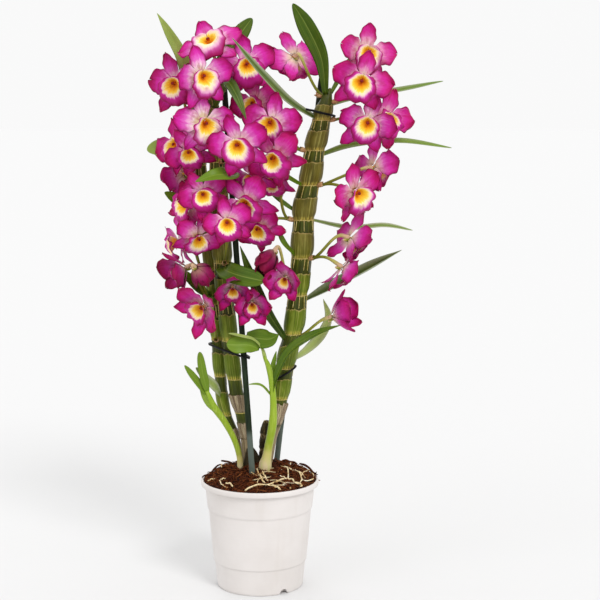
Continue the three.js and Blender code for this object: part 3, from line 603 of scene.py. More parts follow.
def makePetalFinish():  # pale at the heart, magenta to crimson at the tips; `glow` widens the pale part
    material, tree = newFinish('petalSkin', 0.5, 0.1, 0.04)
    side, reach, tint, seed = (mark(tree, label) for label in ('side', 'reach', 'tint', 'seed'))
    veins = cloud(onSheet(side, 8.0, reach, 0.9, seed), 1.0)
    blotch = cloud(onSheet(side, 1.6, reach, 2.2, seed), 1.0)
    soft = cloud(place(tree), 90.0)
    shift = plus(times(veins, 0.30), times(soft, 0.24))
    aside = maths('ABSOLUTE', side)
    bright = plus(times(aside, 0.10), times(mark(tree, 'glow'), -0.20))
    depth = plus(plus(reach, minus(shift, 0.24)), bright)
    colour = ramp(depth, [
        (0.04, 232, 220, 186), (0.15, 244, 224, 228), (0.30, 238, 178, 218),
        (0.46, 220, 96, 190), (0.64, 206, 42, 160), (0.84, 184, 16, 118), (1.0, 134, 2, 60),
    ])
    colour = mixed(fade(blotch, 0.45, 0.68, 0, 0.55), colour, (168, 8, 92))
    warmth = put(tree, 'ShaderNodeTexWhiteNoise', {'W': seed}, noise_dimensions='1D').outputs['Value']
    colour = mixed(fade(warmth, 0.3, 1.0, 0, 0.35), colour, (190, 14, 84))
    edge = times(fade(aside, 0.60, 0.98, 0, 0.85), fade(reach, 0.25, 0.6))
    colour = mixed(edge, colour, (146, 4, 72))
    light = times(fade(veins, 0.56, 0.74, 0, 0.5), fade(reach, 1.0, 0.4))
    colour = mixed(light, colour, (222, 116, 200))
    under = times(fade(mark(tree, 'under'), 0.5, 1.0), fade(reach, 0.45, 0.05, 0.2, 0.8))
    back = mixed(fade(reach, 0.05, 0.45), (222, 192, 160), (206, 46, 146))
    colour = mixed(under, colour, back)
    colour = mixed(times(tint, 0.9), colour, (112, 4, 36))
    return coated(material, colour, veins, 0.4, 0.0009)


def makeLipFinish():  # golden throat, toothed cream ring, then magenta with a crimson edge
    material, tree = newFinish('lipSkin', 0.5, 0.12, 0.03)
    side, reach, tint, seed = (mark(tree, label) for label in ('side', 'reach', 'tint', 'seed'))
    comb = cloud(onSheet(side, 17.0, reach, 0.4, seed), 1.0, 2.0)
    broad = cloud(onSheet(side, 2.5, reach, 1.5, seed), 1.0, 2.0)
    teeth = plus(times(minus(comb, 0.5), 0.26), times(minus(broad, 0.5), 0.20))
    depth = plus(reach, teeth)
    throat = ramp(depth, [
        (0.03, 176, 62, 6), (0.12, 220, 126, 20), (0.22, 238, 168, 30), (0.35, 247, 202, 62),
        (0.41, 250, 220, 110), (0.45, 250, 230, 184),
    ])
    width = plus(times(mark(tree, 'glow'), 0.40), 0.05)
    pale = maths('DIVIDE', minus(depth, 0.54), width)
    limb = ramp(pale, [
        (0.0, 248, 224, 196), (0.3, 236, 180, 208), (0.65, 212, 92, 178), (1.0, 192, 36, 140),
    ])
    limb = mixed(fade(broad, 0.45, 0.7, 0, 0.5), limb, (160, 10, 96))
    limb = mixed(fade(reach, 0.68, 1.0), limb, (150, 6, 76))
    colour = mixed(fade(depth, 0.45, 0.54), throat, limb)
    streak = times(fade(comb, 0.56, 0.70, 0, 0.5), fade(reach, 0.30, 0.12))
    colour = mixed(streak, colour, (206, 84, 4))
    outside = times(fade(mark(tree, 'under'), 0.5, 1.0), fade(reach, 0.8, 0.55, 0, 0.9))
    skin = ramp(reach, [(0.3, 236, 172, 56), (0.48, 244, 208, 130), (0.62, 228, 160, 186)])
    colour = mixed(outside, colour, skin)
    colour = mixed(times(tint, 0.7), colour, (126, 6, 44))
    return coated(material, colour, comb, 0.35, 0.0007)


# a colour that changes along a mark, and drifts by so much
def makeRunningFinish(name, roughness, label, grain, drift, stops, strength, depth):
    material, tree = newFinish(name, roughness, 0.2)
    fine = cloud(place(tree), grain)
    run = plus(mark(tree, label), times(minus(fine, 0.5), drift))
    return coated(material, ramp(run, stops), fine, strength, depth)


def makePaperFinish(name, grain, stops, depth):  # dry, with a fine grain
    material, tree = newFinish(name, 0.6, 0.2)
    fine = cloud(place(tree), grain, 4.0)
    return coated(material, ramp(fine, stops), fine, 0.4, depth)


def makeShootFinish():  # young stems: cream at the foot, then fresh green
    material, tree = newFinish('shootSkin', 0.36, 0.25)
    lines = cloud(place(tree, (500, 500, 18)), 1.0)
    colour = ramp(mark(tree, 'along'), [
        (0.08, 160, 128, 92), (0.15, 208, 190, 148), (0.24, 200, 186, 116), (0.30, 160, 168, 56),
        (0.36, 146, 170, 42), (1.0, 136, 166, 38),
    ])
    colour = mixed(fade(lines, 0.45, 0.72, 0, 0.55), colour, (184, 200, 96))
    return coated(material, colour, lines, 0.3, 0.0005)


def makeOldStemFinish():  # dark brown bark with pale scars at its joints
    material, tree = newFinish('oldStem', 0.6, 0.2)
    lines = cloud(roundStem(tree, 4.0, 1.5), 1.0, 4.0)
    fine = cloud(place(tree), 320.0, 4.0)
    colour = ramp(lines, [(0.3, 26, 20, 8), (0.5, 48, 38, 16), (0.66, 78, 66, 34), (0.8, 132, 112, 76)])
    scar = times(mark(tree, 'ring'), fade(fine, 0.4, 0.6))
    colour = mixed(scar, colour, (156, 132, 92))
    return coated(material, colour, plus(lines, fine), 0.7, 0.0012)


finishes = {
    'pot': makePotFinish(),
    'coir': makeCoirFinish('coirFibre', (14, 6, 3), (48, 20, 9), (108, 54, 24)),
    'bark': makeCoirFinish('barkChip', (28, 12, 5), (68, 30, 13), (116, 62, 30)),
    'strand': makeCoirFinish('coirStrand', (40, 17, 8), (104, 50, 22), (168, 106, 56)),
    'root': makeRootFinish(),
    'stake': makeStakeFinish(),
    'wire': makeWireFinish(),
    'cane': makeCaneFinish(),
    'sheath': makeSheathFinish(),
    'leaf': makeLeafFinish(),
    'petal': makePetalFinish(),
    'lip': makeLipFinish(),
    # golden foot, orange-red to wine at the tip
    'column': makeRunningFinish('columnSkin', 0.4, 'reach', 600.0, 0.15, [
        (0.1, 232, 180, 50), (0.5, 226, 142, 30), (0.72, 184, 62, 18), (0.9, 120, 22, 22),
    ], 0.2, 0.0003),
    'stalk': makeRunningFinish('stalkSkin', 0.45, 'along', 220.0, 0.2, [
        (0.0, 104, 108, 26), (0.45, 132, 136, 44), (0.72, 170, 166, 86), (0.95, 206, 172, 142),
    ], 0.3, 0.0005),
    'bract': makePaperFinish(
        'bractPaper', 500.0, [(0.3, 132, 92, 54), (0.5, 178, 138, 94), (0.7, 208, 176, 130)], 0.0005),
    # the pale strands that are left of old sheaths
    'fringe': makePaperFinish(
        'paleFringe', 420.0, [(0.3, 160, 140, 66), (0.5, 200, 184, 108), (0.7, 224, 212, 150)], 0.0004),
    'shoot': makeShootFinish(),
    'oldStem': makeOldStemFinish(),
}
print("finishes:", len(finishes))

pot = {
    'sides': 128,
    'outside': [
        [39.0, 0.9], [40.0, 0.2], [41.0, 0], [42.4, 0], [43.4, 0.3], [43.9, 1.2], [44.1, 3], [45.2, 14],
        [46.4, 25.4], [46.6, 26.2], [47.3, 26.9], [47.7, 27.6], [47.8, 28.6], [50, 53], [52.3, 79.4],
        [52.4, 80.2], [53.2, 81.4], [53.6, 82.4], [53.7, 83.4], [54.7, 93], [55.6, 102.4], [55.9, 103.8],
        [56.6, 104.6], [58, 105], [59.3, 105.1], [59.9, 105.5], [60.1, 106.4], [60.1, 108.6], [59.9, 109.7],
        [59.3, 110.4], [58.6, 110.5],
    ],
    'inside': [
        [57.9, 110.4], [57.6, 109.9], [57.3, 109], [56.9, 108], [54, 103], [50.4, 79], [46.4, 40], [43.0, 7.6],
    ],
    'notches': {'width': 12, 'topWidth': 7.6, 'height': 5.5, 'arch': 3, 'from': 38, 'to': 50},
    'bearings': [34, 154, 274],  # of the notches
    'sharpest': 38,  # degrees between faces that still shade as one
}


def makeNotch(bearing):  # the arched block that is cut out of the pot's foot
    size = pot['notches']
    half, top, rise = size['width'] / 2, size['topWidth'] / 2, size['arch']
    spring = size['height'] - rise
    arch = [(top * math.cos(a), spring + rise * math.sin(a)) for a in np.linspace(0, math.pi, 9)]
    outline = [(-half, -2), (half, -2), (half, 0.2), *arch, (-half, 0.2)]
    turn = Matrix.Rotation(math.radians(bearing), 3, 'Z')
    points = [tuple(turn @ Vector((x, -y, z))) for y in (size['from'], size['to']) for x, z in outline]
    count = len(outline)
    faces = [list(range(count))[::-1], list(range(count, 2 * count))]
    faces += [[(i + 1) % count + count, i + count, i, (i + 1) % count] for i in range(count)]
    return makeObject(f'notch{bearing}', points, faces, smooth=False)


def makePot():
    grid = turned(pot['outside'] + pot['inside'], pot['sides'])
    made = makeObject('pot', *ringed(grid, {}), finish=finishes['pot'])
    for bearing in pot['bearings']:
        cutter = makeNotch(bearing)
        cut = made.modifiers.new('notch', 'BOOLEAN')
        cut.operation = 'DIFFERENCE'
        cut.solver = 'EXACT'
        cut.object = cutter
        graph = bpy.context.evaluated_depsgraph_get()
        made.data = bpy.data.meshes.new_from_object(made.evaluated_get(graph), depsgraph=graph)
        made.modifiers.clear()
        bpy.data.objects.remove(cutter)
    mesh = made.data
    mesh.name = 'pot'
    mesh.materials.clear()
    mesh.materials.append(finishes['pot'])
    mesh.polygons.foreach_set('material_index', [0] * len(mesh.polygons))
    mesh.polygons.foreach_set('use_smooth', [True] * len(mesh.polygons))
    mesh.set_sharp_from_angle(angle=math.radians(pot['sharpest']))
    return made


settle(makePot(), "pot", "pot")
print("pot")

mound = {
    'edge': 110.2, 'top': 117.2, 'back': 6, 'radius': 57.2, 'relief': 0.8,
    'rings': 40, 'sides': 150, 'rough': 2.4, 'outer': 57.0,
}
litter = {  # `density` is bits on a square metre; `lift` and `outer`, the reach from the middle, are in mm
    'barkChips': {
        'finish': 'bark', 'density': 52000, 'seed': 3, 'outer': 55.5,
        'smallest': 0.6, 'largest': 1.2, 'tilt': 0.5, 'lift': 0.3,
    },
    'coirFibres': {
        'finish': 'strand', 'density': 80000, 'seed': 5, 'outer': 56.5,
        'smallest': 0.5, 'largest': 1.1, 'tilt': 0.35, 'lift': 0.4,
    },
}
potFill = [[42.6, 7.7], [50.0, 79], [53.6, 103], [56.6, 108.4]]  # radius and height inside the pot


def moundHeight(x, y):
    reach = min(math.hypot(x, y) / mound['radius'], 1)
    crown = mound['edge'] + (mound['top'] - mound['edge']) * (1 - reach * reach)
    behind = min(max((y + 12) / 48, 0), 1)
    crown += mound['back'] * behind * behind * (3 - 2 * behind) * (1 - reach**6)
    return crown + mound['relief'] * math.sin(x * 0.31 + 1) * math.cos(y * 0.27) * (1 - reach**4)


def makeMound(outer):
    rows = []
    for radius in np.linspace(outer, 1.5, mound['rings']):
        row = []
        for angle in roundAngles(mound['sides']):
            x, y = radius * math.cos(angle), radius * math.sin(angle)
            lump = noise.noise(Vector((x, y, 0)) * 0.16) + 0.6 * noise.noise(Vector((x, y, 9)) * 0.5)
            row.append((x, y, moundHeight(x, y) + mound['rough'] * lump - 0.6))
        rows.append(row)
    return np.array(rows)


def makeSubstrate():
    grid = np.vstack([turned(potFill, mound['sides']), makeMound(mound['outer'])])
    marks = {'shade': np.zeros(grid.shape[:2])}
    return makeObject('substrate', *ringed(grid, marks), finish=finishes['coir'])


def makeChip(number):  # a flake of bark: a bent, uneven plate
    chance = random.Random(40 + number)
    length, width, deep = chance.uniform(3.5, 6.5), chance.uniform(2, 4), chance.uniform(0.8, 1.6)
    points = []
    for level in (0, 1):
        for k in range(7):
            angle = 2 * math.pi * k / 7 + chance.uniform(-0.25, 0.25)
            reach = chance.uniform(0.75, 1.05)
            x, y = math.cos(angle) * length * 0.5 * reach, math.sin(angle) * width * 0.5 * reach
            points.append((x, y, level * deep + 0.05 * x * x - 0.6))
    faces = [list(range(6, -1, -1)), list(range(7, 14))]
    faces += [[k, (k + 1) % 7, (k + 1) % 7 + 7, k + 7] for k in range(7)]
    return makeObject(f'chip{number}', points, faces, smooth=False)


def makeFibre(number):  # a curled coir strand with three sides
    chance = random.Random(80 + number)
    length, width = chance.uniform(7, 14), chance.uniform(0.2, 0.46)
    bend, curl = chance.uniform(-1.2, 1.2), chance.uniform(0.5, 2.4)
    rows = []
    for t in np.linspace(-1, 1, 8):
        x, y, z = length * t / 2, bend * t * t * 2.4 + 0.5 * math.sin(3 * t), curl * (1 - t * t)
        rows.append([(x, y + width * math.cos(a), z + width * math.sin(a)) for a in (0, 2.1, 4.2)])
    return makeObject(f'fibre{number}', *ringed(np.array(rows), {})[:2])


def strew(name, bits):  # loose bits over the mound
    layer = litter[name]
    grid = makeMound(layer['outer'])
    ground = makeObject(name, grid.reshape(-1, 3), tubeFaces(*grid.shape[:2]))
    return grow(ground, scatterTree, Bits=bits, Density=layer['density'], Seed=layer['seed'],
                Smallest=layer['smallest'], Largest=layer['largest'], Tilt=layer['tilt'],
                Lift=layer['lift'] * toMetres, Finish=finishes[layer['finish']])


chips = collect('chips', [makeChip(k) for k in range(6)])
fibres = collect('fibres', [makeFibre(k) for k in range(6)])
settle(makeSubstrate(), "coir", "substrate")
settle(strew('barkChips', chips), "coir", "substrate")
settle(strew('coirFibres', fibres), "coir", "substrate")

twigs = [  # bits that lie on the coir and over the rim: rows of x, y, z and radius
    [[-41.3, 33, 120.8, 0.8], [-37.4, 33, 120.2, 1.1], [-32.4, 32, 119.5, 1.0], [-28.2, 31, 117.6, 0.8]],
    [[-50.4, 8, 114.2, 0.7], [-47.9, 14, 116.4, 1.0], [-44.2, 22, 118.4, 0.9], [-40.0, 27, 118.4, 0.6]],
    [[-59.1, -3, 112.3, 0.5], [-56.8, 0, 113.4, 0.8], [-53.1, 5, 113.2, 0.6]],
    [[-57.3, -5, 114.2, 0.4], [-54.4, 0, 113.7, 0.5], [-49.2, 8, 112.5, 0.5]],
    [
        [21.9, 38, 119.0, 1.0], [26.1, 39, 119.3, 1.8], [30.2, 40, 117.9, 1.2], [34.8, 40, 117.2, 1.3],
        [38.1, 38, 115.8, 0.8],
    ],
    [[40.6, 36, 116.8, 0.9], [45.9, 32, 116.4, 1.3], [50.4, 25, 115.2, 1.2], [54.4, 16, 113.3, 0.7]],
    [[51.6, 18, 114.2, 0.6], [56.0, 9, 113.7, 0.8], [59.1, 2, 113.7, 0.4]],
    [[53.2, 8, 112.1, 0.5], [56.2, 6, 113.6, 0.6], [58.0, 5, 116.1, 0.4]],
    [[12.0, 14, 122.3, 1.5], [15.2, 8, 120.5, 2.3], [18.3, 2, 118.5, 1.3]],
    [[20.4, 26, 118.9, 1.4], [24.1, 30, 118.6, 2.2], [28.2, 32, 117.4, 1.1]],
    [[32.7, 30, 116.6, 0.8], [37.7, 26, 115.5, 1.5], [42.6, 22, 116.1, 0.8]],
    [[24.5, -46, 109.9, 0.6], [30.8, -45, 110.1, 0.9], [36.7, -43, 110.1, 0.5]],
    [[-27.1, -50, 111.0, 0.5], [-20.8, -51, 110.3, 0.8], [-14.1, -51, 110.1, 0.5]],
]
settle(makeBars('twigs', twigs, sides=7, step=1.2, finish=finishes['bark']), "coir", "substrate")
print("substrate")

roots = [  # each one's width, and the places that it runs through, seen from above
    (2.6, [[-13, -54], [-9, -48], [-2, -45], [7, -43], [15, -37], [23, -28], [29, -22]]),
    (1.9, [[29, -22], [29, -8], [28, 7], [25, 12], [21, 15]]),
    (2.0, [[25, 11], [33, 6], [39, 2], [42, -9], [43, -20], [41, -30]]),
    (1.7, [[42, -6], [47, 10], [51, 21], [54, 13]]),
    (1.7, [[43, -18], [47, -20], [52, -16], [55, 0], [53, 15]]),
    (2.3, [[29, -22], [33, -22], [36, -30], [41, -32], [43, -35], [41, -37]]),
    (1.6, [[21, -16], [25, -20], [29, -22]]),
    (1.9, [[24, -37], [31, -34], [36, -33], [41, -31]]),
    (2.6, [[13, -43], [18, -47], [22, -51]]),
    (2.4, [[-3, -1], [1, -22], [6, -39]]),
    (2.4, [[3, -7], [6, -23], [9, -35]]),
    (2.4, [[-33, -34], [-28, -38], [-26, -44]]),
    (1.6, [[-39, -23], [-36, -19], [-34, -21]]),
    (1.7, [[-52, -18], [-49, -15], [-45, -16]]),
    (1.5, [[-40, -24], [-36, -37], [-31, -44]]),
    (2.4, [[-41, 38], [-40, 16]]),
    (1.6, [[25, 49], [30, 47], [31, 18]]),
    (2.0, [[32, 46], [42, 36], [49, 26], [54, 15]]),
    (2.0, [[26, 49], [34, 44], [38, 41]]),
    (1.5, [[31, -44], [32, -45], [31, -46]]),
]
rootlets = {'count': 9, 'radius': 0.42, 'lift': 1.2, 'sway': 7}  # thin loops among the main roots


def makeRoots():
    chance = random.Random(11)
    paths = []
    for width, run in roots:
        path = smoothPath([(x, y, 0) for x, y in run], 44)
        radius = width * 0.36
        phase = chance.uniform(0, 9)
        spots = []
        for i, (x, y, _) in enumerate(path):
            z = moundHeight(x, y) + radius + 1.0 + 0.5 * math.sin(0.3 * i + phase)
            taper = 1 if i < 38 else 1 - (i - 38) * 0.11
            spots.append((x, y, z, radius * (1 + 0.06 * math.sin(0.8 * i + phase)) * taper))
        paths.append(spots)
    for _ in range(rootlets['count']):
        angle, reach = chance.uniform(-1.9, 0.5), chance.uniform(18, 44)
        x, y = reach * math.cos(angle), reach * math.sin(angle)
        heading = chance.uniform(0, 2 * math.pi)
        knots = [(x, y, 0)]
        for _ in range(4):
            heading += chance.uniform(-0.8, 0.8)
            x, y = x + rootlets['sway'] * math.cos(heading), y + rootlets['sway'] * math.sin(heading)
            if math.hypot(x, y) < 48:
                knots.append((x, y, 0))
        if len(knots) < 3:
            continue
        high, thin, spots = rootlets['lift'] * chance.uniform(0.6, 2.2), rootlets['radius'], []
        for i, (x, y, _) in enumerate(smoothPath(knots, 20)):
            z = moundHeight(x, y) + thin * 0.6 + high * math.sin(math.pi * i / 19)
            spots.append((x, y, z, thin * chance.uniform(0.85, 1.1)))
        paths.append(spots)
    return makeBars('roots', paths, sides=8, step=0.9, finish=finishes['root'])


settle(makeRoots(), "root", "roots")
print("roots")

# Each cane's centre line from the soil up, as rows of x, y, z and diameter, and its joints.
canes = {
    'right': {
        'line': [
            [7, 22, 102, 7], [11, 22, 146, 9], [19, 22, 172, 14], [25, 22, 217, 18.5],
            [29, 21, 241, 20], [35, 20, 261, 20.5], [40, 20, 312, 21], [43, 20, 336, 23],
            [44, 19, 370, 22.5], [46, 18, 394, 24], [53, 18, 420, 22], [55, 17, 444, 22],
            [61, 16, 468, 21], [66, 15, 491, 17], [71, 15, 506, 11],
        ],
        'joints': [189, 221, 257, 297, 335, 374, 409, 444, 474],
    },
    'front': {
        'line': [
            [-13, 20, 102, 6], [-16, 20, 146, 7], [-19, 20, 167, 11], [-25, 20, 198, 15],
            [-30, 20, 240, 16], [-35, 20, 292, 18], [-38, 20, 333, 19.5], [-40, 20, 394, 20],
            [-42, 20, 434, 17], [-45, 20, 474, 14], [-48, 20, 504, 11], [-48.5, 20, 528, 8],
        ],
        'joints': [175, 210, 250, 292, 330, 365, 399, 432, 464, 496, 520],
    },
    'rear': {
        'line': [
            [-17.5, 26, 102, 6], [-23.5, 28, 144, 7], [-31.5, 30, 162, 10], [-39, 31, 178, 12],
            [-42, 32, 218, 13], [-46, 34, 275, 13.5], [-50, 34, 322, 14], [-55, 34, 363, 13.5],
            [-58, 33, 403, 12], [-61, 32, 444, 11], [-63, 32, 484, 8],
        ],
        'joints': [170, 211, 249, 286, 321, 357, 393, 428, 459],
    },
}

caneShape = {
    'step': 2.0, 'sides': 40, 'easing': 12,
    'joint': 0.88, 'full': 1.04, 'tip': 0.45, 'rise': 0.25,  # shares of the diameter up an internode
    'ringHeight': 1.0, 'ringDepth': 0.45, 'fluting': 0.018,
    'sheathReach': 0.64, 'sheathGap': 0.3, 'sheathFlare': 0.25, 'sheathRows': 11,
    'fringe': 30, 'strands': 9, 'lowStrands': 2, 'strandsFrom': 275,  # lower joints have few strands
    'oldUpTo': {'right': 160, 'front': 163, 'rear': 152},
    # the old sheaths near the foot: from and to are shares of the internode, counted from the soil
    'oldSheaths': {
        'right': {0: {'from': 0.38, 'to': 0.89, 'flare': 1.6}},
        'front': {
            0: {'from': 0.05, 'to': 0.62, 'flare': 0.3},
            1: {'from': 0.02, 'to': 0.54, 'flare': 1.5},
        },
        'rear': {0: {'from': 0.05, 'to': 0.48, 'flare': 0.4}},
    },
}


def caneAt(cane, height):  # centre and radius
    line = np.array(canes[cane]['line'], float)
    x, y, diameter = (np.interp(height, line[:, 2], line[:, k]) for k in (0, 1, 3))
    return np.array((x, y, height)), diameter / 2


def smoothCaneAt(cane, height):  # the same with the corners of the line eased
    line, reach = canes[cane]['line'], caneShape['easing']
    if height - reach < line[0][2] or height + reach > line[-1][2]:
        return caneAt(cane, height)
    samples = [caneAt(cane, height + reach * share) for share in (-1, -0.5, 0, 0.5, 1)]
    return sum(s[0] for s in samples) / 5, sum(s[1] for s in samples) / 5


def caneRungs(cane):
    line, joints = canes[cane]['line'], canes[cane]['joints']
    return [line[1][2], *joints, line[-1][2]]


def caneSkin(cane, height):  # centre, radius, rung, height within the rung and how near a joint is
    rungs, shape = caneRungs(cane), caneShape
    centre, radius = smoothCaneAt(cane, height)
    rung = int(np.clip(np.searchsorted(rungs, height, side='right') - 1, 0, len(rungs) - 2))
    low, high = rungs[rung], rungs[rung + 1]
    share = np.clip((height - low) / (high - low), 0, 1)
    start = 1 if rung == 0 else shape['joint']
    end = shape['tip'] if rung == len(rungs) - 2 else shape['joint']
    if share < shape['rise']:
        factor = start + (shape['full'] - start) * float(ease(share, 0, shape['rise']))
    else:
        factor = shape['full'] + (end - shape['full']) * float(ease(share, shape['rise'], 1.1))
    near = min(abs(height - joint) for joint in canes[cane]['joints'])
    ring = max(0.0, 1 - near / shape['ringHeight'])
    return centre, radius * factor, rung, share, ring


def roundNoise(angle, scale, level):  # noise that meets itself all the way round a stem
    return noise.noise(Vector((math.cos(angle) * scale, math.sin(angle) * scale, level)))


def roundMarks(angles, rows):
    return {'roundX': np.tile(np.cos(angles), (rows, 1)), 'roundY': np.tile(np.sin(angles), (rows, 1))}


def makeStem(cane):
    rungs, shape, bare = caneRungs(cane), caneShape, caneShape['oldUpTo'][cane]
    heights = [canes[cane]['line'][0][2], rungs[0] - 20]
    for low, high in zip(rungs, rungs[1:]):
        heights += list(np.linspace(low + 1.4, high - 1.4, max(3, int((high - low) / shape['step']))))
        heights += [high - 0.8, high, high + 0.8]
    heights = sorted(h for h in heights if h <= rungs[-1])
    angles = roundAngles(shape['sides'])
    top, grid, marks = heights[-1], [], {'height': [], 'rung': [], 'ring': [], 'aged': []}
    for height in heights:
        centre, radius, rung, share, ring = caneSkin(cane, height)
        radius *= math.sqrt(max(0.02, min(1, (top - height) / 5))) if top - height < 5 else 1
        flute = 1 + shape['fluting'] * np.sin(angles * 9 + rung * 2.1) * (1 - ring)
        spots = radius * flute + shape['ringDepth'] * ring
        around = np.column_stack([np.cos(angles) * spots, np.sin(angles) * spots, 0 * angles])
        grid.append(centre + around)
        old = float(ease(height, bare + 4, bare - 4))
        for label, value in zip(marks, (share, rung, ring, old)):
            marks[label].append([value] * len(angles))
    marks = {**{k: np.array(v) for k, v in marks.items()}, **roundMarks(angles, len(grid))}
    return makeObject(f'{cane}Stem', *ringed(np.array(grid), marks), finish=finishes['cane'])


def makeSheaths(cane):  # a thin torn sleeve up most of each internode
    shape, parts = caneShape, []
    rungs = caneRungs(cane)
    angles = roundAngles(shape['sides'])
    chance = random.Random(len(cane) * 7)
    for rung, (low, high) in enumerate(zip(rungs, rungs[1:])):
        reach = shape['sheathReach'] * chance.uniform(0.9, 1.06)
        if rung == len(rungs) - 2:
            reach *= 0.7
        old = shape['oldSheaths'][cane].get(rung)
        start, flare = 0.012, shape['sheathFlare']
        if old:
            start, reach, flare = old['from'], old['to'], old['flare']
        tear = [reach * (1 + 0.07 * roundNoise(a, 1.6, rung * 3.1) + 0.07 * roundNoise(a, 8, rung * 5.7))
                for a in angles]
        outer, inner, tears, heights = [], [], [], []
        for step in range(shape['sheathRows']):
            t = step / (shape['sheathRows'] - 1)
            ring, inside, shares = [], [], []
            for k, angle in enumerate(angles):
                share = start + (tear[k] - start) * t
                height = low + (high - low) * share
                centre, radius = caneSkin(cane, height)[:2]
                wrinkle = 0.2 * roundNoise(angle, 4, height * 0.12 + rung)
                gap = shape['sheathGap'] + flare * t * t + wrinkle
                ring.append(centre + ray(angle) * (radius + max(gap, 0.12)))
                inside.append(centre + ray(angle) * (radius - 0.1 + 0.5 * max(gap - 0.2, 0) * t))
                shares.append(share)
            outer.append(ring)
            inner.append(inside)
            tears.append([t] * len(angles))
            heights.append([s - start for s in shares])
        grid = np.array(outer + inner[::-1])
        size = grid.shape[:2]
        marks = {
            'tear': np.array(tears + tears[::-1]), 'height': np.array(heights + heights[::-1]),
            'rung': np.full(size, float(rung)), 'aged': np.full(size, 1.0 if old else 0.0),
            **roundMarks(angles, len(grid)),
        }
        parts.append(ringed(grid, marks, capped=False))
    return makeObject(*joined(f'{cane}Sheaths', parts), finish=finishes['sheath'])


def makeStrands(cane):  # pale strands that hang from each joint over the bare stem below it
    chance = random.Random(len(cane) * 13)
    rungs, shape, paths = caneRungs(cane), caneShape, []
    for low, high in list(zip(rungs, rungs[1:-1]))[1:]:
        for k in range(shape['strands'] if high > shape['strandsFrom'] else shape['lowStrands']):
            angle = 2 * math.pi * (k + chance.uniform(-0.35, 0.35)) / shape['strands']
            reach = chance.uniform(0.24, 0.37) * (high - low)
            lean = chance.uniform(-0.12, 0.12)
            path = []
            for t in np.linspace(0, 1, 6):
                height = high + 0.4 - reach * t
                centre, radius = caneSkin(cane, height)[:2]
                spot = centre + ray(angle + lean * t) * (radius + 0.22)
                path.append((*spot, 0.52 * (1 - 0.35 * t)))
            paths.append(path)
        for _ in range(shape['fringe']):  # a fringe of torn ends round the joint
            angle = chance.uniform(0, 2 * math.pi)
            centre, radius = caneSkin(cane, high)[:2]
            around = ray(angle)
            start, tall = centre + around * (radius + 0.2), chance.uniform(-1.8, 1.4)
            paths.append([(*start, 0.34), (*(start + around * 0.3 + up * tall * 0.5), 0.28),
                          (*(start + around * 0.4 + up * tall), 0.14)])
    return makeBars(f'{cane}Strands', paths, sides=4, step=1.6, finish=finishes['fringe'])


for cane in canes:
    parts = [makeStem(cane), makeSheaths(cane), makeStrands(cane)]
    settle(merge(f'cane_{cane}', parts), "cane", f"cane_{cane}")
print("canes")

stakes = {
    'left': [[-6, -9, 96], [-35, 22, 509]],
    'right': [[14, 45, 96], [63, 30, 518]],
}
stakeShape = {'radius': 3.0, 'rings': 60, 'sides': 20, 'step': 4, 'tip': 0.86}
tie = {'radius': 1.15, 'coating': 0.35, 'slack': 0.6, 'stations': 40, 'sides': 10, 'step': 0.9}


def stakeAt(side, height):
    low, high = np.array(stakes[side], float)
    return low + (high - low) * (height - low[2]) / (high[2] - low[2]), stakeShape['radius']


def makeStake(side):
    shape = stakeShape
    path = [[*spot, shape['radius'] * (1 + 0.02 * math.sin(i * 0.7) + 0.012 * math.sin(i * 2.3))]
            for i, spot in enumerate(np.linspace(*stakes[side], shape['rings']))]
    path[-1][3] *= shape['tip']
    return makeBars(f'stake_{side}', [path], shape['sides'], shape['step'], finishes['stake'])


for side in stakes:
    settle(makeStake(side), "stake", f"stake_{side}")


def makeWire(name, spots, closed=False):
    path = [(*spot, tie['radius']) for spot in spots]
    return makeBars(name, [path], tie['sides'], tie['step'], finishes['wire'], closed)


def makeTie(name, height, slope, around, start, tail):  # a loop that touches all that it goes round
    girth = tie['radius'] + tie['coating'] + tie['slack']
    middle = around[0](height)[0][0]
    loop = []
    for i in range(tie['stations']):
        angle = 2 * math.pi * i / tie['stations']
        outward, spots = ray(angle), []
        for held in around:
            at, radius = held(height)
            near = held(height + slope * (at[0] - middle))[0]
            spots.append(near + outward * (radius * 1.04 + girth))
        spot = max(spots, key=lambda s: s @ outward)
        spot[2] = height + slope * (spot[0] - middle)
        loop.append(spot)
    first = loop[int(start * tie['stations'] / 12) % tie['stations']]
    ends = smoothPath([first, *(first + np.array(offset, float) for offset in tail)], 12)
    return merge(name, [makeWire(f'{name}Loop', loop, closed=True), makeWire(f'{name}Ends', ends)])


def onCane(cane):
    return lambda height: caneAt(cane, height)


def onStake(side):
    return lambda height: stakeAt(side, height)


ties = [  # height, slope, what the wire goes round, the hour where it is twisted, and its loose ends
    ('tie_right_high', 481, -0.24, [onCane('right'), onStake('right')], 9, [[-6, -1, 1.5], [-17, 0, 4]]),
    ('tie_right_low', 216, 0.6, [onCane('right'), onStake('right')], 8, [[-3, -1.5, -3], [-8, -3, -9]]),
    ('tie_left_high', 450, -0.1, [onCane('front'), onStake('left')], 10, [[1, -1, 0], [4, -1.5, -1]]),
    ('tie_left_low', 240, -0.2, [onCane('front'), onCane('rear'), onStake('left')], 10,
     [[1, -1, 0], [4, -1.5, -1]]),
]
for wire in ties:
    settle(makeTie(*wire), "tie", wire[0])
print("stakes and ties")

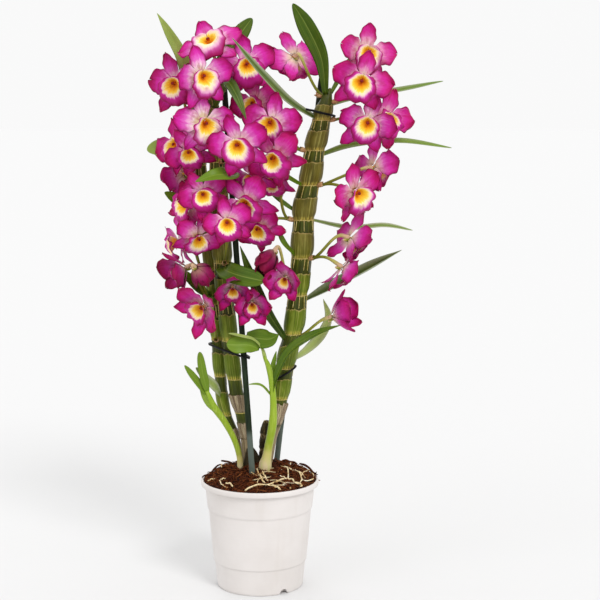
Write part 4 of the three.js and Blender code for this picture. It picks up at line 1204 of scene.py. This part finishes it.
# Each leaf starts on its cane at `height`, and `path` runs on along the midrib to the tip. `widths`
# are full widths at even steps, `faces` is where the upper side looks, and `fold` how steeply the
# two halves rise. `tone` runs from dark green, 0, to pale, 1, and `grey` dulls it.
leaves = {
    'right': {
        'top': {'height': 499, 'path': [[62, 4, 535], [48, -6, 565], [34, -14, 587]],
            'widths': [6, 12, 18, 18, 8], 'faces': [-0.4, -1, 0.1], 'fold': 0.25, 'tone': 0.26},
        'back': {'height': 500, 'path': [[91, 30, 532], [108, 42, 552]],
            'widths': [4, 6, 7, 5, 2], 'faces': [-0.5, -1, 0.6], 'fold': 0.5, 'tone': 0.4},
        'arching': {'height': 475, 'path': [[31, -5, 492], [4, -28, 519], [-24, -46, 553]],
            'widths': [5, 9, 11, 10, 7, 2], 'faces': [0.5, -1, 0.7], 'fold': 0.45, 'tone': 0.2, 'grey': 0.6},
        'high': {'height': 488, 'path': [[97, 34, 496], [143, 48, 504], [188, 58, 513]],
            'widths': [4, 7, 7.5, 6.5, 3], 'faces': [0, -0.9, 1], 'fold': 0.4, 'tone': 0.55, 'grey': 0.45},
        'upper': {'height': 438, 'path': [[92, 34, 448], [143, 46, 452], [197, 52, 445]],
            'widths': [5, 8, 8.5, 8, 6, 3], 'faces': [0, -0.9, 1], 'fold': 0.4, 'tone': 0.62, 'grey': 0.25},
        'middle': {'height': 374, 'path': [[92, 37, 364], [128, 41, 366], [157, 42, 361]],
            'widths': [4, 6.5, 7, 6.5, 3], 'faces': [0, -0.9, 1], 'fold': 0.4, 'tone': 0.6, 'grey': 0.9},
        'folded': {'height': 289, 'path': [[76, 30, 303], [113, 25, 323], [144, 12, 344]],
            'widths': [5, 15, 20, 19, 12, 2], 'faces': [-0.3, -0.4, 1], 'fold': 0.7, 'tone': 0.12, 'grey': 0.4},
        'pale': {'height': 228, 'path': [[49, 34, 239], [63, 37, 254], [70, 38, 271], [65, 34, 291]],
            'widths': [3, 7, 10, 10, 7, 2], 'faces': [0.2, -1, 0.2], 'fold': 0.3, 'tone': 1.0, 'grey': 0.5},
        'short_1': {'height': 381, 'path': [[21, 22, 393], [7, 24, 405]],
            'widths': [3, 5, 5, 1.6], 'faces': [0.3, -1, 0.6], 'fold': 0.4, 'tone': 0.4},
        'short_2': {'height': 408, 'path': [[29, 0, 418], [18, -2, 429]],
            'widths': [3, 5, 5, 1.6], 'faces': [0.3, -1, 0.6], 'fold': 0.4, 'tone': 0.4},
        'short_3': {'height': 336, 'path': [[25, 2, 352], [17, 0, 369]],
            'widths': [3, 5, 6, 1.6], 'faces': [0.3, -1, 0.6], 'fold': 0.4, 'tone': 0.4},
        'strap': {'height': 250, 'path': [[9, 0, 282], [-6, -6, 316], [-19, -4, 350]],
            'widths': [5, 9, 11, 11, 8, 2], 'faces': [-0.3, -1, 0], 'fold': 0.3, 'tone': 0.1},
    },
    'front': {
        'broad': {'height': 326, 'path': [[-33, -5, 325], [-19, -23, 322], [6, -37, 318]],
            'widths': [17, 19, 20, 20, 19, 14], 'faces': [0, -1, 0.3], 'fold': 0.3, 'tone': 0.32},
        'top': {'height': 521, 'path': [[-23, 26, 553], [-7, 30, 575]],
            'widths': [4, 12, 17, 17, 9], 'faces': [-0.2, -1, 0.2], 'fold': 0.3, 'tone': 0.25},
        'hanging': {'height': 486, 'path': [[-31, -14, 512], [-21, -26, 499], [-11, -30, 475]],
            'widths': [4, 8, 12, 12, 8, 2], 'faces': [0.3, -1, 0.5], 'fold': 0.3, 'tone': 0.2, 'grey': 0.1},
        'level': {'height': 411, 'path': [[-31, -8, 414], [-27, -34, 422], [-42, -46, 422], [-60, -47, 416]],
            'widths': [10, 16, 17, 15, 5], 'faces': [0, -1, 0.8], 'fold': 0.3, 'tone': 0.58},
    },
    'rear': {
        'top': {'height': 477, 'path': [[-76, 24, 532], [-90, 14, 561], [-100, 8, 579]],
            'widths': [6.0, 12.0, 14.4, 13.2, 9.6, 2.4], 'faces': [0.3, -1, 0.3], 'fold': 0.4, 'tone': 0.9},
        'round': {'height': 444, 'path': [[-88, 34, 446], [-114, 30, 444]],
            'widths': [5, 14, 19, 19, 12], 'faces': [0, -1, 0.6], 'fold': 0.25, 'tone': 0.85},
        'short': {'height': 386, 'path': [[-78, 20, 391], [-95, 10, 402]],
            'widths': [5, 12, 13, 6], 'faces': [0.2, -1, 0.6], 'fold': 0.3, 'tone': 0.4},
        'folded': {'height': 294, 'path': [[-60, 6, 302], [-84, -12, 330]],
            'widths': [6, 13, 16, 12, 2], 'faces': [0.5, -0.8, 0.8], 'fold': 0.7, 'tone': 0.4},
        'low': {'height': 190, 'path': [[-46, 6, 205], [-57, -3, 218], [-64, -8, 227]],
            'widths': [3, 8, 10, 8, 5], 'faces': [0.3, -1, 0.5], 'fold': 0.3, 'tone': 0.9, 'grey': 0.8},
    },
}

leafShape = {'rows': 34, 'columns': 15, 'thickness': 0.5, 'wave': 0.05, 'budDepth': 0.55}


def smoothly(values, reach):  # evenly spaced values, eased between
    values = np.array(values, float)
    padded = np.concatenate([[2 * values[0] - values[1]], values, [2 * values[-1] - values[-2]]])
    spot = np.clip(np.asarray(reach, float), 0, 1) * (len(values) - 1)
    i = np.minimum(spot.astype(int), len(values) - 2)
    t = spot - i
    before, here, there, after = (padded[i + k] for k in range(4))
    return 0.5 * (2 * here + (there - before) * t + (2 * before - 5 * here + 4 * there - after) * t**2
                  + (3 * here - before - 3 * there + after) * t**3)


def makeBlade(path, widths, faces, fold, tone, seed, grey=0.0):  # a leaf along its midrib
    shape, chance = leafShape, random.Random(seed)
    line = smoothPath(path, 160)
    forward = np.array([unit(step) for step in np.gradient(line, axis=0)])
    reach = 1 - (1 - np.linspace(0, 1, shape['rows'])) ** 1.25
    pick = np.linspace(0, 1, len(line))
    ribs = np.column_stack([np.interp(reach, pick, line[:, k]) for k in range(3)])
    ahead = np.column_stack([np.interp(reach, pick, forward[:, k]) for k in range(3)])
    width = np.maximum(smoothly(widths, reach), 0.8) * np.sqrt(np.clip(1 - reach**14, 0.003, 1))
    across = np.linspace(-1, 1, shape['columns'])
    phase, beat = chance.uniform(0, 6), chance.uniform(9, 13)
    grid = np.zeros((shape['rows'], shape['columns'], 3))
    upper = np.array(faces, float)
    for i, onward in enumerate(ahead):
        onward = unit(onward)
        face = unit(upper - onward * (upper @ onward))
        side = np.cross(onward, face)
        half = width[i] / 2
        for j, s in enumerate(across):
            trough = math.sqrt(s * s + 0.012) - 0.11  # the midrib's rounded groove
            rise = half * fold * trough - 0.05 * half * s * s
            swing = math.sin(beat * reach[i] + phase + (1.3 if s > 0 else 0))
            wave = shape['wave'] * half * s * s * swing
            grid[i, j] = ribs[i] + side * (s * half) + face * (rise + wave)
    size = grid.shape[:2]
    marks = {**sheetMarks(across, reach), 'tone': np.full(size, tone), 'grey': np.full(size, grey)}
    return shell(grid, shape['thickness'], marks)


def budOf(cane, height, level):  # inside the stem, where a leaf or a flower stalk starts
    centre, radius = caneAt(cane, height)
    return centre + level * radius * leafShape['budDepth']


def levelled(v):
    return unit((v[0], v[1], 0))


def makeLeaf(name, cane, seed, height, path, **blade):
    level = levelled(np.array(path[0], float) - caneAt(cane, height)[0])
    path = [budOf(cane, height, level)] + path
    return makeObject(name, *makeBlade(path, seed=seed, **blade), finish=finishes['leaf'])


for number, (cane, word) in enumerate((cane, word) for cane in leaves for word in leaves[cane]):
    name = f'leaf_{cane}_{word}'
    settle(makeLeaf(name, cane, number, **leaves[cane][word]), "leaf", name)
print("leaves")

# Young shoots: a stem as rows of x, y, z and diameter, and its own leaves.
shoots = {
    'shoot_left': {
        'stem': [
            [-21, 12, 102, 7], [-21, 12, 128, 6], [-26, 9, 148, 6], [-35.5, 4, 168, 6.5],
            [-47, -3, 187, 7], [-53, -8, 203, 4],
        ],
        'leaves': [
            {'path': [[-50, -6, 196], [-64, -10, 215], [-75, -12, 230]],
             'widths': [3, 7, 7.5, 6.5, 3.5], 'faces': [0.3, -1, 0.3], 'fold': 0.4, 'tone': 0.6},
            {'path': [[-52, -7, 199], [-57, -10, 223], [-60, -8, 243]],
             'widths': [3, 7.5, 8.5, 8, 6], 'faces': [0.2, -1, 0.1], 'fold': 0.4, 'tone': 0.6},
            {'path': [[-45, -4, 181], [-54, -7, 194], [-60, -8, 207]],
             'widths': [3, 6, 5, 1.6], 'faces': [-0.3, -1, 0.3], 'fold': 0.4, 'tone': 0.8},
        ],
    },
    'shoot_right': {
        'stem': [
            [5, 5, 102, 12], [5, 5, 116, 13], [5.5, 5, 124, 13], [7, 4.5, 132, 9.6], [9, 4, 144, 8.4],
            [13, 0, 166, 8.6], [14, -2, 187, 7], [12, -4, 214, 6], [9, -5, 228, 5.5],
            [5, -7, 238, 2.5],
        ],
        'leaves': [
            {'path': [[13, -3, 200], [18, -9, 219], [31, -14, 244], [56, -17, 262], [82, -19, 272]],
             'widths': [5, 11, 13, 13, 9, 2], 'faces': [-0.4, -0.7, 1], 'fold': 0.5, 'tone': 0.34},
            {'path': [[0, -9, 246], [-10, -15, 251], [-22, -20, 252], [-32, -24, 253]],
             'widths': [3, 14, 17, 18, 12], 'faces': [0, -1, 0.4], 'fold': 0.25, 'tone': 0.62},
            {'path': [[-13, -6, 259], [0, -5, 256], [11, -7, 256], [20, -10, 261]],
             'widths': [8, 18, 20, 15, 2], 'faces': [0, -1, 0.3], 'fold': 0.3, 'tone': 0.42},
            {'path': [[11, -4, 216], [14, 0, 229], [17, 2, 242]],
             'widths': [3, 5, 1.6], 'faces': [0, -1, 0.3], 'fold': 0.4, 'tone': 0.6},
            {'path': [[13, -3, 196], [1, -7, 209], [-11, -9, 210]],
             'widths': [3, 4, 4, 1.6], 'faces': [0, -0.5, 1], 'fold': 0.3, 'tone': 0.75},
            {'path': [[10, -4, 220], [6, -6, 233], [2, -8, 246], [-6, -14, 256], [-18, -22, 261], [-30, -28, 265]],
             'widths': [4, 5, 5.5, 6, 6, 5.5, 3.5], 'faces': [0.2, -0.5, 1], 'fold': 0.5, 'tone': 0.95},
        ],
    },
}

stump = [[2, 34, 102, 9], [3, 33, 124, 10], [4, 32, 138, 11], [5, 31, 154, 10.5], [6, 31, 164, 6]]

for number, (name, shoot) in enumerate(shoots.items()):
    path = [(x, y, z, diameter / 2) for x, y, z, diameter in smoothPath(shoot['stem'], 60)]
    stem = makeBars(f'{name}Stem', [path], sides=20, step=1.5, finish=finishes['shoot'])
    blades = [makeBlade(**leaf, seed=50 + 10 * number + k) for k, leaf in enumerate(shoot['leaves'])]
    foliage = makeObject(*joined(f'{name}Leaves', blades), finish=finishes['leaf'])
    settle(merge(name, [stem, foliage]), "shoot", name)

knobs = {'rows': 60, 'sides': 30, 'slim': 0.92, 'swell': 0.16, 'rough': 0.14, 'joints': 4, 'aged': 0.2}


def makeStump():  # an old bare stem with swollen joints
    angles = roundAngles(knobs['sides'])
    grid, shares = [], np.linspace(0, knobs['joints'], knobs['rows'])
    for (x, y, z, d), share in zip(smoothPath(stump, knobs['rows']), shares):
        swell = knobs['swell'] * abs(math.sin(math.pi * share)) ** 0.7
        radius = d / 2 * (knobs['slim'] + swell - knobs['swell'] * 0.4)
        ring = []
        for a in angles:
            bump = 1 + knobs['rough'] * roundNoise(a, 2, z * 0.32)
            ring.append((x + math.cos(a) * radius * bump, y + math.sin(a) * radius * bump, z))
        grid.append(ring)
    heights = np.tile(shares[:, None], (1, knobs['sides']))
    near = np.minimum(heights % 1, 1 - heights % 1)
    marks = {
        'height': heights % 1, 'rung': np.floor(heights), 'ring': np.maximum(0, 1 - 6 * near),
        'aged': np.full(heights.shape, knobs['aged']), **roundMarks(angles, knobs['rows']),
    }
    return makeObject('stump', *ringed(np.array(grid), marks), finish=finishes['oldStem'])


oldFeet = [  # what is left of older stems: rows of x, y, z and radius
    [[-1, 24, 104, 5.5], [-3, 26, 118, 5], [-6, 27, 130, 2.8], [-8, 27, 136, 0.8]],
    [[-16, 17, 104, 4.5], [-14, 17, 118, 4.2], [-13, 16, 130, 2.6], [-13, 16, 138, 0.8]],
    [[-24, 21, 104, 3.6], [-23, 20, 116, 3.2], [-22, 20, 125, 1]],
]
feet = makeBars('oldFeet', oldFeet, sides=14, step=1.5, finish=finishes['oldStem'])
settle(merge('stump', [makeStump(), feet]), "stump", "stump")
print("shoots and stump")

# `at` is the throat, `turn` the bearing that the flower looks to, from the front round towards +X,
# `rise` how far it looks up, `open` how far its petals have spread, `size` its share of full size,
# `roll` how far it leans to its own right, `tint` how wine-dark it is, and `glow` how wide its pale
# heart. `side` is where the stalk leaves the cane.
sprays = {
    'right': [
        {'height': 498, 'side': [-1, 0.3], 'blooms': [
            {'at': [36, 14, 536], 'turn': -160, 'rise': -20, 'roll': 15},
        ]},
        {'height': 492, 'blooms': [
            {'at': [101, -30, 512], 'turn': -6, 'rise': -5, 'roll': 16, 'glow': 0.3},
            {'at': [107, 10, 539], 'turn': 13, 'rise': 9, 'roll': 10, 'glow': 1},
        ]},
        {'height': 474, 'blooms': [
            {'at': [107, -19, 472], 'turn': -4, 'rise': -8, 'roll': 18, 'glow': 0.4},
            {'at': [126, 12, 475], 'turn': 25, 'rise': 0, 'roll': 18},
        ]},
        {'height': 409, 'blooms': [
            {'at': [95, -22, 404], 'turn': 35, 'rise': -12, 'roll': -18, 'glow': 0.4},
            {'at': [114, 6, 427], 'turn': 130, 'rise': 0, 'roll': 10},
        ]},
        {'height': 335, 'blooms': [
            {'at': [91, 0, 357], 'turn': 115, 'rise': -20, 'glow': 0},
            {'at': [84, -8, 328], 'turn': 88, 'rise': -35},
        ]},
        {'height': 444, 'blooms': [
            {'at': [13, -18, 472], 'turn': -14, 'rise': -5, 'roll': 10, 'glow': 0.3},
            {'at': [17, -33, 439], 'turn': -25, 'rise': -15, 'roll': -38},
            {'at': [-2, 8, 490], 'turn': -40, 'rise': 0, 'roll': -15},
        ]},
        {'height': 374, 'blooms': [
            {'at': [1, -5, 368], 'turn': -24, 'rise': -20, 'roll': -35, 'size': 0.86},
            {'at': [15, 3, 415], 'turn': -35, 'rise': -25, 'size': 0.8, 'roll': -30},
        ]},
        {'height': 295, 'blooms': [
            {'at': [14, -12, 343], 'turn': -30, 'rise': -35, 'open': 0.1, 'tint': 0.95, 'size': 1.12},
            {'at': [27, -26, 319], 'turn': -15, 'rise': -8, 'open': 0.5, 'tint': 0.2, 'size': 0.86},
        ]},
        {'height': 254, 'blooms': [
            {'at': [75, 8, 277], 'turn': 75, 'rise': 18, 'open': 0.4},
        ]},
    ],
    'front': [
        {'height': 520, 'blooms': [
            {'at': [-47, -12, 547], 'turn': -15, 'rise': 44, 'roll': -24, 'glow': 1, 'size': 1.08},
            {'at': [-12, -5, 528], 'turn': 10, 'rise': 0, 'roll': -12},
        ]},
        {'height': 496, 'blooms': [
            {'at': [-53, -41, 516], 'turn': 22, 'rise': 0, 'roll': -10, 'glow': 0.8},
        ]},
        {'height': 464, 'blooms': [
            {'at': [-52, -35, 472], 'turn': 25, 'rise': -10, 'roll': -3, 'glow': 1},
        ]},
        {'height': 432, 'blooms': [
            {'at': [-18, -48, 452], 'turn': -12, 'rise': -12, 'roll': -15, 'glow': 0.4},
        ]},
        {'height': 399, 'side': [0, -1], 'blooms': [
            {'at': [-6, -6, 419], 'turn': -30, 'rise': -25, 'size': 0.8, 'roll': -20},
        ]},
        {'height': 365, 'side': [0, -1], 'blooms': [
            {'at': [-11, -30, 395], 'turn': -22, 'rise': -15, 'roll': -38},
        ]},
        {'height': 330, 'blooms': [
            {'at': [-29, -42, 377], 'turn': -5, 'rise': -12, 'roll': -15, 'size': 0.84},
        ]},
        {'height': 292, 'side': [0, -1], 'blooms': [
            {'at': [-26, -14, 309], 'turn': 5, 'rise': -25, 'open': 0.5, 'tint': 0.3, 'size': 0.86},
            {'at': [-7, -12, 292], 'turn': 5, 'rise': -10, 'open': 0.5, 'tint': 0.15, 'size': 0.84},
        ]},
    ],
    'rear': [
        {'height': 459, 'blooms': [
            {'at': [-82, 4, 510], 'turn': -18, 'rise': -6, 'roll': -10, 'tint': 0.25},
        ]},
        {'height': 428, 'blooms': [
            {'at': [-67, -11, 444], 'turn': -12, 'rise': -18, 'roll': -30, 'size': 0.85},
            {'at': [-80, 11, 449], 'turn': -46, 'rise': 2, 'roll': -27},
        ]},
        {'height': 393, 'blooms': [
            {'at': [-76, 30, 419], 'turn': -140, 'rise': -7, 'roll': 19},
        ]},
        {'height': 357, 'blooms': [
            {'at': [-53, -29, 403], 'turn': -3, 'rise': -9, 'roll': -29, 'size': 0.84},
            {'at': [-68, 1, 391], 'turn': -48, 'rise': 5, 'roll': 31},
        ]},
        {'height': 321, 'blooms': [
            {'at': [-61, -11, 359], 'turn': 22, 'rise': -27, 'roll': 25, 'glow': 0.5, 'size': 0.84},
            {'at': [-82, 27, 351], 'turn': -75, 'rise': -10, 'roll': -2},
        ]},
        {'height': 286, 'blooms': [
            {'at': [-75, -2, 327], 'turn': -61, 'rise': -21, 'roll': 12, 'open': 0.5, 'tint': 0.6},
            {'at': [-62, -20, 329], 'turn': 150, 'rise': -35, 'open': 0.3, 'size': 0.8, 'tint': 0.8},
        ]},
        {'height': 249, 'blooms': [
            {'at': [-55, -16, 290], 'turn': -30, 'rise': -15, 'open': 0.7, 'roll': 52},
        ]},
    ],
}

sepal = {
    'length': 30, 'widths': [6, 11, 14.5, 16, 15, 12, 8],
    'level': -1.2, 'lift': 3, 'rib': 0.8, 'wave': 1.9, 'blunt': 8,
}
crest = {**sepal, 'length': 29, 'widths': [5, 10, 14.5, 17, 16.5, 13.5, 9], 'lift': 5}
petal = {
    'length': 29, 'widths': [5, 14, 21, 25, 25.5, 23, 18],
    'level': 1, 'lift': 9, 'rib': 1.5, 'wave': 3.0, 'blunt': 7,
}
tepals = [(0, crest), (78, petal), (143, sepal), (-143, sepal), (-78, petal)]  # each one's turn and form
closing = {'lift': 50, 'curl': 72}  # of a closed bud's tepals, in degrees
petalShape = {'rows': 18, 'columns': 13, 'thickness': 0.45, 'heart': 2.4}

# The lip's section from the throat out: radius, depth towards the viewer and half its wrap.
lip = {
    'section': [
        [0.4, 2.6, 182], [2.4, 3.4, 182], [4.2, 5.0, 182], [5.8, 7.2, 182], [7.2, 9.3, 182], [9.0, 10.8, 181],
        [11.6, 11.6, 174], [14.4, 11.3, 156], [17.0, 10.3, 143], [19.2, 8.8, 136],
    ],
    'rows': 22, 'columns': 45, 'tilt': 12, 'thickness': 0.45, 'full': 19.2,
    'roof': 0.84, 'recess': 0.42, 'overlap': 0.45,  # how the side lobes close above the column
}

openings = [1] * 10 + [0.7, 0.5, 0.5, 0.4, 0.3, 0.1]  # of the flower shapes that sprays pick from


def makeTepals(number, openness):  # three sepals and two petals, spread as far as they have opened
    chance = random.Random(200 + number)
    shape, shut = petalShape, 1 - openness
    reach = 1 - (1 - np.linspace(0, 1, shape['rows'])) ** 1.5
    across = np.linspace(-1, 1, shape['columns'])
    parts = []
    for bearing, form in tepals:
        turn = math.radians(bearing + chance.uniform(-5, 5))
        raised = math.radians(form['lift'] + chance.uniform(-6, 7) * openness + shut * closing['lift'])
        curl = math.radians(shut * closing['curl'] + chance.uniform(-38, 26) * openness)
        curl = curl if abs(curl) > 0.02 else 0.02
        outward = np.array((math.sin(turn), math.cos(turn), 0))
        side = np.array((math.cos(turn), -math.sin(turn), 0))
        width = smoothly(form['widths'], reach) * np.sqrt(np.clip(1 - reach ** form['blunt'], 0.002, 1))
        length = form['length'] * chance.uniform(0.95, 1.03)
        twist = chance.uniform(-0.38, 0.38) * (0.3 + 0.7 * openness)
        phase, beat, bump = chance.uniform(0, 6), chance.uniform(7, 10), chance.uniform(0, 6)
        grid = np.zeros((shape['rows'], shape['columns'], 3))
        for i, r in enumerate(reach):
            heading = raised + curl * r
            run = shape['heart'] + length * (math.sin(heading) - math.sin(raised)) / curl
            rise = length * (math.cos(raised) - math.cos(heading)) / curl
            inward = -outward * math.sin(heading) + up * math.cos(heading)
            for j, s in enumerate(across):
                rib = form['rib'] * (1 - math.sqrt(s * s + 0.01)) * (1 - 0.5 * r)
                cup = shut * s * s * width[i] * 0.22
                wave = form['wave'] * s * s * r * (0.45 + 0.55 * openness)
                ruffle = wave * math.sin(beat * r + phase + (2 if s > 0 else 0))
                scallop = 1 + 0.07 * abs(s) * math.sin(19 * r + bump + (1 if s > 0 else 0))
                lean = twist * r * s * width[i] / 2
                tip = 0.9 * r**4 * math.sin(4.5 * s + bump)  # the notched end
                crumple = 1.1 * r * noise.noise(Vector((3 * s, 4 * r, bump + bearing)))
                grid[i, j] = (outward * (run + tip) + up * rise + side * s * width[i] / 2 * scallop
                              + inward * (form['level'] - rib + cup + ruffle + lean + crumple))
        parts.append(shell(grid, shape['thickness'], sheetMarks(across, reach)))
    return makeObject(*joined(f'tepals{number}', parts))


def makeLip(number, openness):  # `above` is how near a point is to the top, where the lip closes
    chance = random.Random(300 + number)
    section = smoothPath([[r, z, 0, wrap] for r, z, wrap in lip['section']], lip['rows'])
    shrink = 0.25 + 0.75 * openness
    lobe, narrow, ruffle, phase, second = (
        chance.uniform(*span) for span in ((0.02, 0.16), (0.08, 0.30), (1.1, 2.1), (0, 6), (0, 6)))
    across = np.linspace(1, -1, lip['columns'])
    grid = np.zeros((lip['rows'], lip['columns'], 3))
    for i, (radius, deep, _, wrap) in enumerate(section):
        flare = max(0.0, (radius - 8) / 11)
        tilt = math.radians(lip['tilt']) * radius / 16
        for j, s in enumerate(across):
            angle = math.radians(wrap) * s
            sideways = math.sin(angle) ** 2 if abs(angle) < math.pi / 2 else 1
            out = radius * shrink * (1 + flare * (lobe * math.cos(angle) - narrow * sideways))
            frill = 0.5 * ruffle * math.sin(8 * angle + phase)
            out += flare * (frill + 0.35 * math.sin(15 * angle + second))
            wave = math.sin(7 * angle + 1.7 * phase) + 0.5 * math.sin(12 * angle + second)
            z = deep + flare**1.5 * ruffle * wave + flare * 3.2 * sideways - flare * s**4
            z += (1 - openness) * flare * 5
            above = max(0.0, -math.cos(angle)) ** 1.5
            out *= 1 - (1 - lip['roof']) * above
            z = z * (1 - lip['recess'] * above) + lip['overlap'] * s * above
            spot = Vector((math.sin(angle) * out, -math.cos(angle) * out, z))
            grid[i, j] = Matrix.Rotation(tilt, 3, 'X') @ spot
    marks = sheetMarks(across, section[:, 0] / lip['full'])
    return makeObject(f'lip{number}', *shell(grid, lip['thickness'], marks))


def makeColumn(number, openness):  # rows of x, y, z and radius, from its foot to its tip
    rows = smoothPath([
        (0, 0.4, 0.2, 1.4), (0, 0.8, 2.2, 1.4), (0, 1.2, 4.6, 1.5), (0, 1.3, 6.6, 1.8), (0, 1.0, 7.8, 1.6),
        (0, 0.6, 8.5, 1.0), (0, 0.4, 8.8, 0.3),
    ], 14)
    angles = roundAngles(14)
    grid = np.array([[(x + math.cos(a) * r, y + math.sin(a) * r * 0.85, z) for a in angles]
                     for x, y, z, r in rows])
    grid[:, :, 2] *= 0.4 + 0.6 * openness
    marks = sheetMarks(0 * angles, np.linspace(0, 1, len(rows)))
    return makeObject(f'column{number}', *ringed(grid, marks))


def makeBract(number):  # a small torn papery cup that a stalk grows through, along +Z
    chance = random.Random(400 + number)
    angles = roundAngles(14)
    tears = [chance.uniform(0.7, 1.15) for _ in angles]
    profile = [(1.9, -1.5), (2.5, 0.8), (2.7, 3.0), (2.3, 5.6), (2.0, 5.3), (2.3, 3.0), (2.1, 0.8), (1.5, -1.5)]
    grid = np.array([[(math.cos(a) * r, math.sin(a) * r, z * (tears[k] if z > 2 else 1))
                      for k, a in enumerate(angles)] for r, z in profile])
    return makeObject(f'bract{number}', *ringed(grid, {}, capped=False)[:2])


masters = {
    'petal': collect('tepalShapes', [makeTepals(k, o) for k, o in enumerate(openings)]),
    'lip': collect('lipShapes', [makeLip(k, o) for k, o in enumerate(openings)]),
    'column': collect('columnShapes', [makeColumn(k, o) for k, o in enumerate(openings)]),
    'bract': collect('bractShapes', [makeBract(k) for k in range(3)]),
}


def flowerAxes(bloom):  # right, up and forward; `roll` leans the flower to its own right
    bearing, lift, roll = (math.radians(bloom.get(key, 0)) for key in ('turn', 'rise', 'roll'))
    level = math.cos(lift)
    forward = np.array((math.sin(bearing) * level, -math.cos(bearing) * level, math.sin(lift)))
    side = unit(np.cross(up, forward))
    right = side * math.cos(roll) - np.cross(forward, side) * math.sin(roll)
    return right, np.cross(forward, right), forward


def bezier(start, leaving, arriving, end, count):
    t = np.linspace(0, 1, count)[:, None]
    return (1 - t)**3 * start + 3 * (1 - t)**2 * t * leaving + 3 * (1 - t) * t**2 * arriving + t**3 * end


def makeStalk(bloom, start, outward):  # the stalk with the ovary, and the chin behind the flower
    _, above, forward = flowerAxes(bloom)
    heart = np.array(bloom['at'], float)
    size = bloom.get('size', 1)

    def back(distance):
        return heart - forward * distance * size

    curve = bezier(start, start + outward * 14, back(20), back(8), 14)
    radii = [1.75] + [1.5] * 9 + [1.55, 1.7, 1.9, 2.05]
    path = [(*spot, radius) for spot, radius in zip(curve, radii)]
    path += [(*back(away), radius * size) for away, radius in ((5.5, 2.1), (3, 2.6), (1.4, 2.2), (0.6, 1.2))]
    chin = [(*(back(away) - above * drop * size), radius * size)
            for away, drop, radius in ((0.6, 0.8, 2.4), (2.8, 2.2, 2.2), (5.4, 3.4, 1.5), (7, 4, 0.7))]
    return path, chin


def makeSpray(name, cane, number, spray):  # the flowers, their stalks and the bract at one joint
    chance = random.Random(500 + number)
    blooms = spray['blooms']
    axis, radius = caneAt(cane, spray['height'])
    aim = np.zeros(3)
    for bloom in blooms:
        aim += np.array(bloom['at']) - axis - 16 * flowerAxes(bloom)[2]
    level = unit((*spray['side'], 0)) if 'side' in spray else levelled(aim)
    outward = unit((level[0], level[1], 0.35))
    bud = budOf(cane, spray['height'], level)
    bars, start = [], bud
    if len(blooms) > 1:  # one foot carries them all
        foot = bud + level * (radius * 0.5 + 3)
        bars, start = [[(*bud, 1.9), (*((bud + foot) / 2), 1.9), (*foot, 1.7)]], foot - level
    spots = []
    for bloom in blooms:
        bars += makeStalk(bloom, start, outward)
        options = [k for k, o in enumerate(openings) if abs(o - bloom.get('open', 1)) < 0.01]
        variant, seed = options[chance.randrange(len(options))], chance.uniform(0, 60)
        spots.append({
            'at': bloom['at'], 'axes': flowerAxes(bloom), 'size': bloom.get('size', 1), 'variant': variant,
            'marks': {'seed': seed, 'tint': bloom.get('tint', 0), 'glow': bloom.get('glow', 0.1)},
        })
    parts = [makePlaced('tepals', spots, masters['petal'], finishes['petal'])]
    opened = [spot for spot in spots if openings[spot['variant']] > 0.35]
    flushed = []
    for spot in opened:
        tint = max(spot['marks']['tint'], 0.9 * (1 - openings[spot['variant']]))
        flushed.append({**spot, 'marks': {**spot['marks'], 'tint': tint}})
    if opened:
        parts.append(makePlaced('lips', flushed, masters['lip'], finishes['lip']))
        parts.append(makePlaced('columns', opened, masters['column'], finishes['column']))
    parts.append(makeBars('stalks', bars, sides=10, step=1.6, finish=finishes['stalk']))
    across = unit(np.cross(up, outward))
    cup = {
        'at': bud + level * radius * 0.42, 'axes': (across, np.cross(outward, across), outward),
        'size': 1.0, 'variant': number % 3, 'marks': {'seed': 0},
    }
    parts.append(makePlaced('bracts', [cup], masters['bract'], finishes['bract']))
    return merge(name, parts)


for number, (cane, rank) in enumerate((cane, k) for cane in sprays for k in range(len(sprays[cane]))):
    name = f'spray_{cane}_{rank + 1}'
    settle(makeSpray(name, cane, number, sprays[cane][rank]), "bloom", name)
print("flowers:", sum(len(spray['blooms']) for group in sprays.values() for spray in group))

triangles = sum(len(p.vertices) - 2 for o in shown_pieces() for p in o.data.polygons)
print("triangles:", triangles)
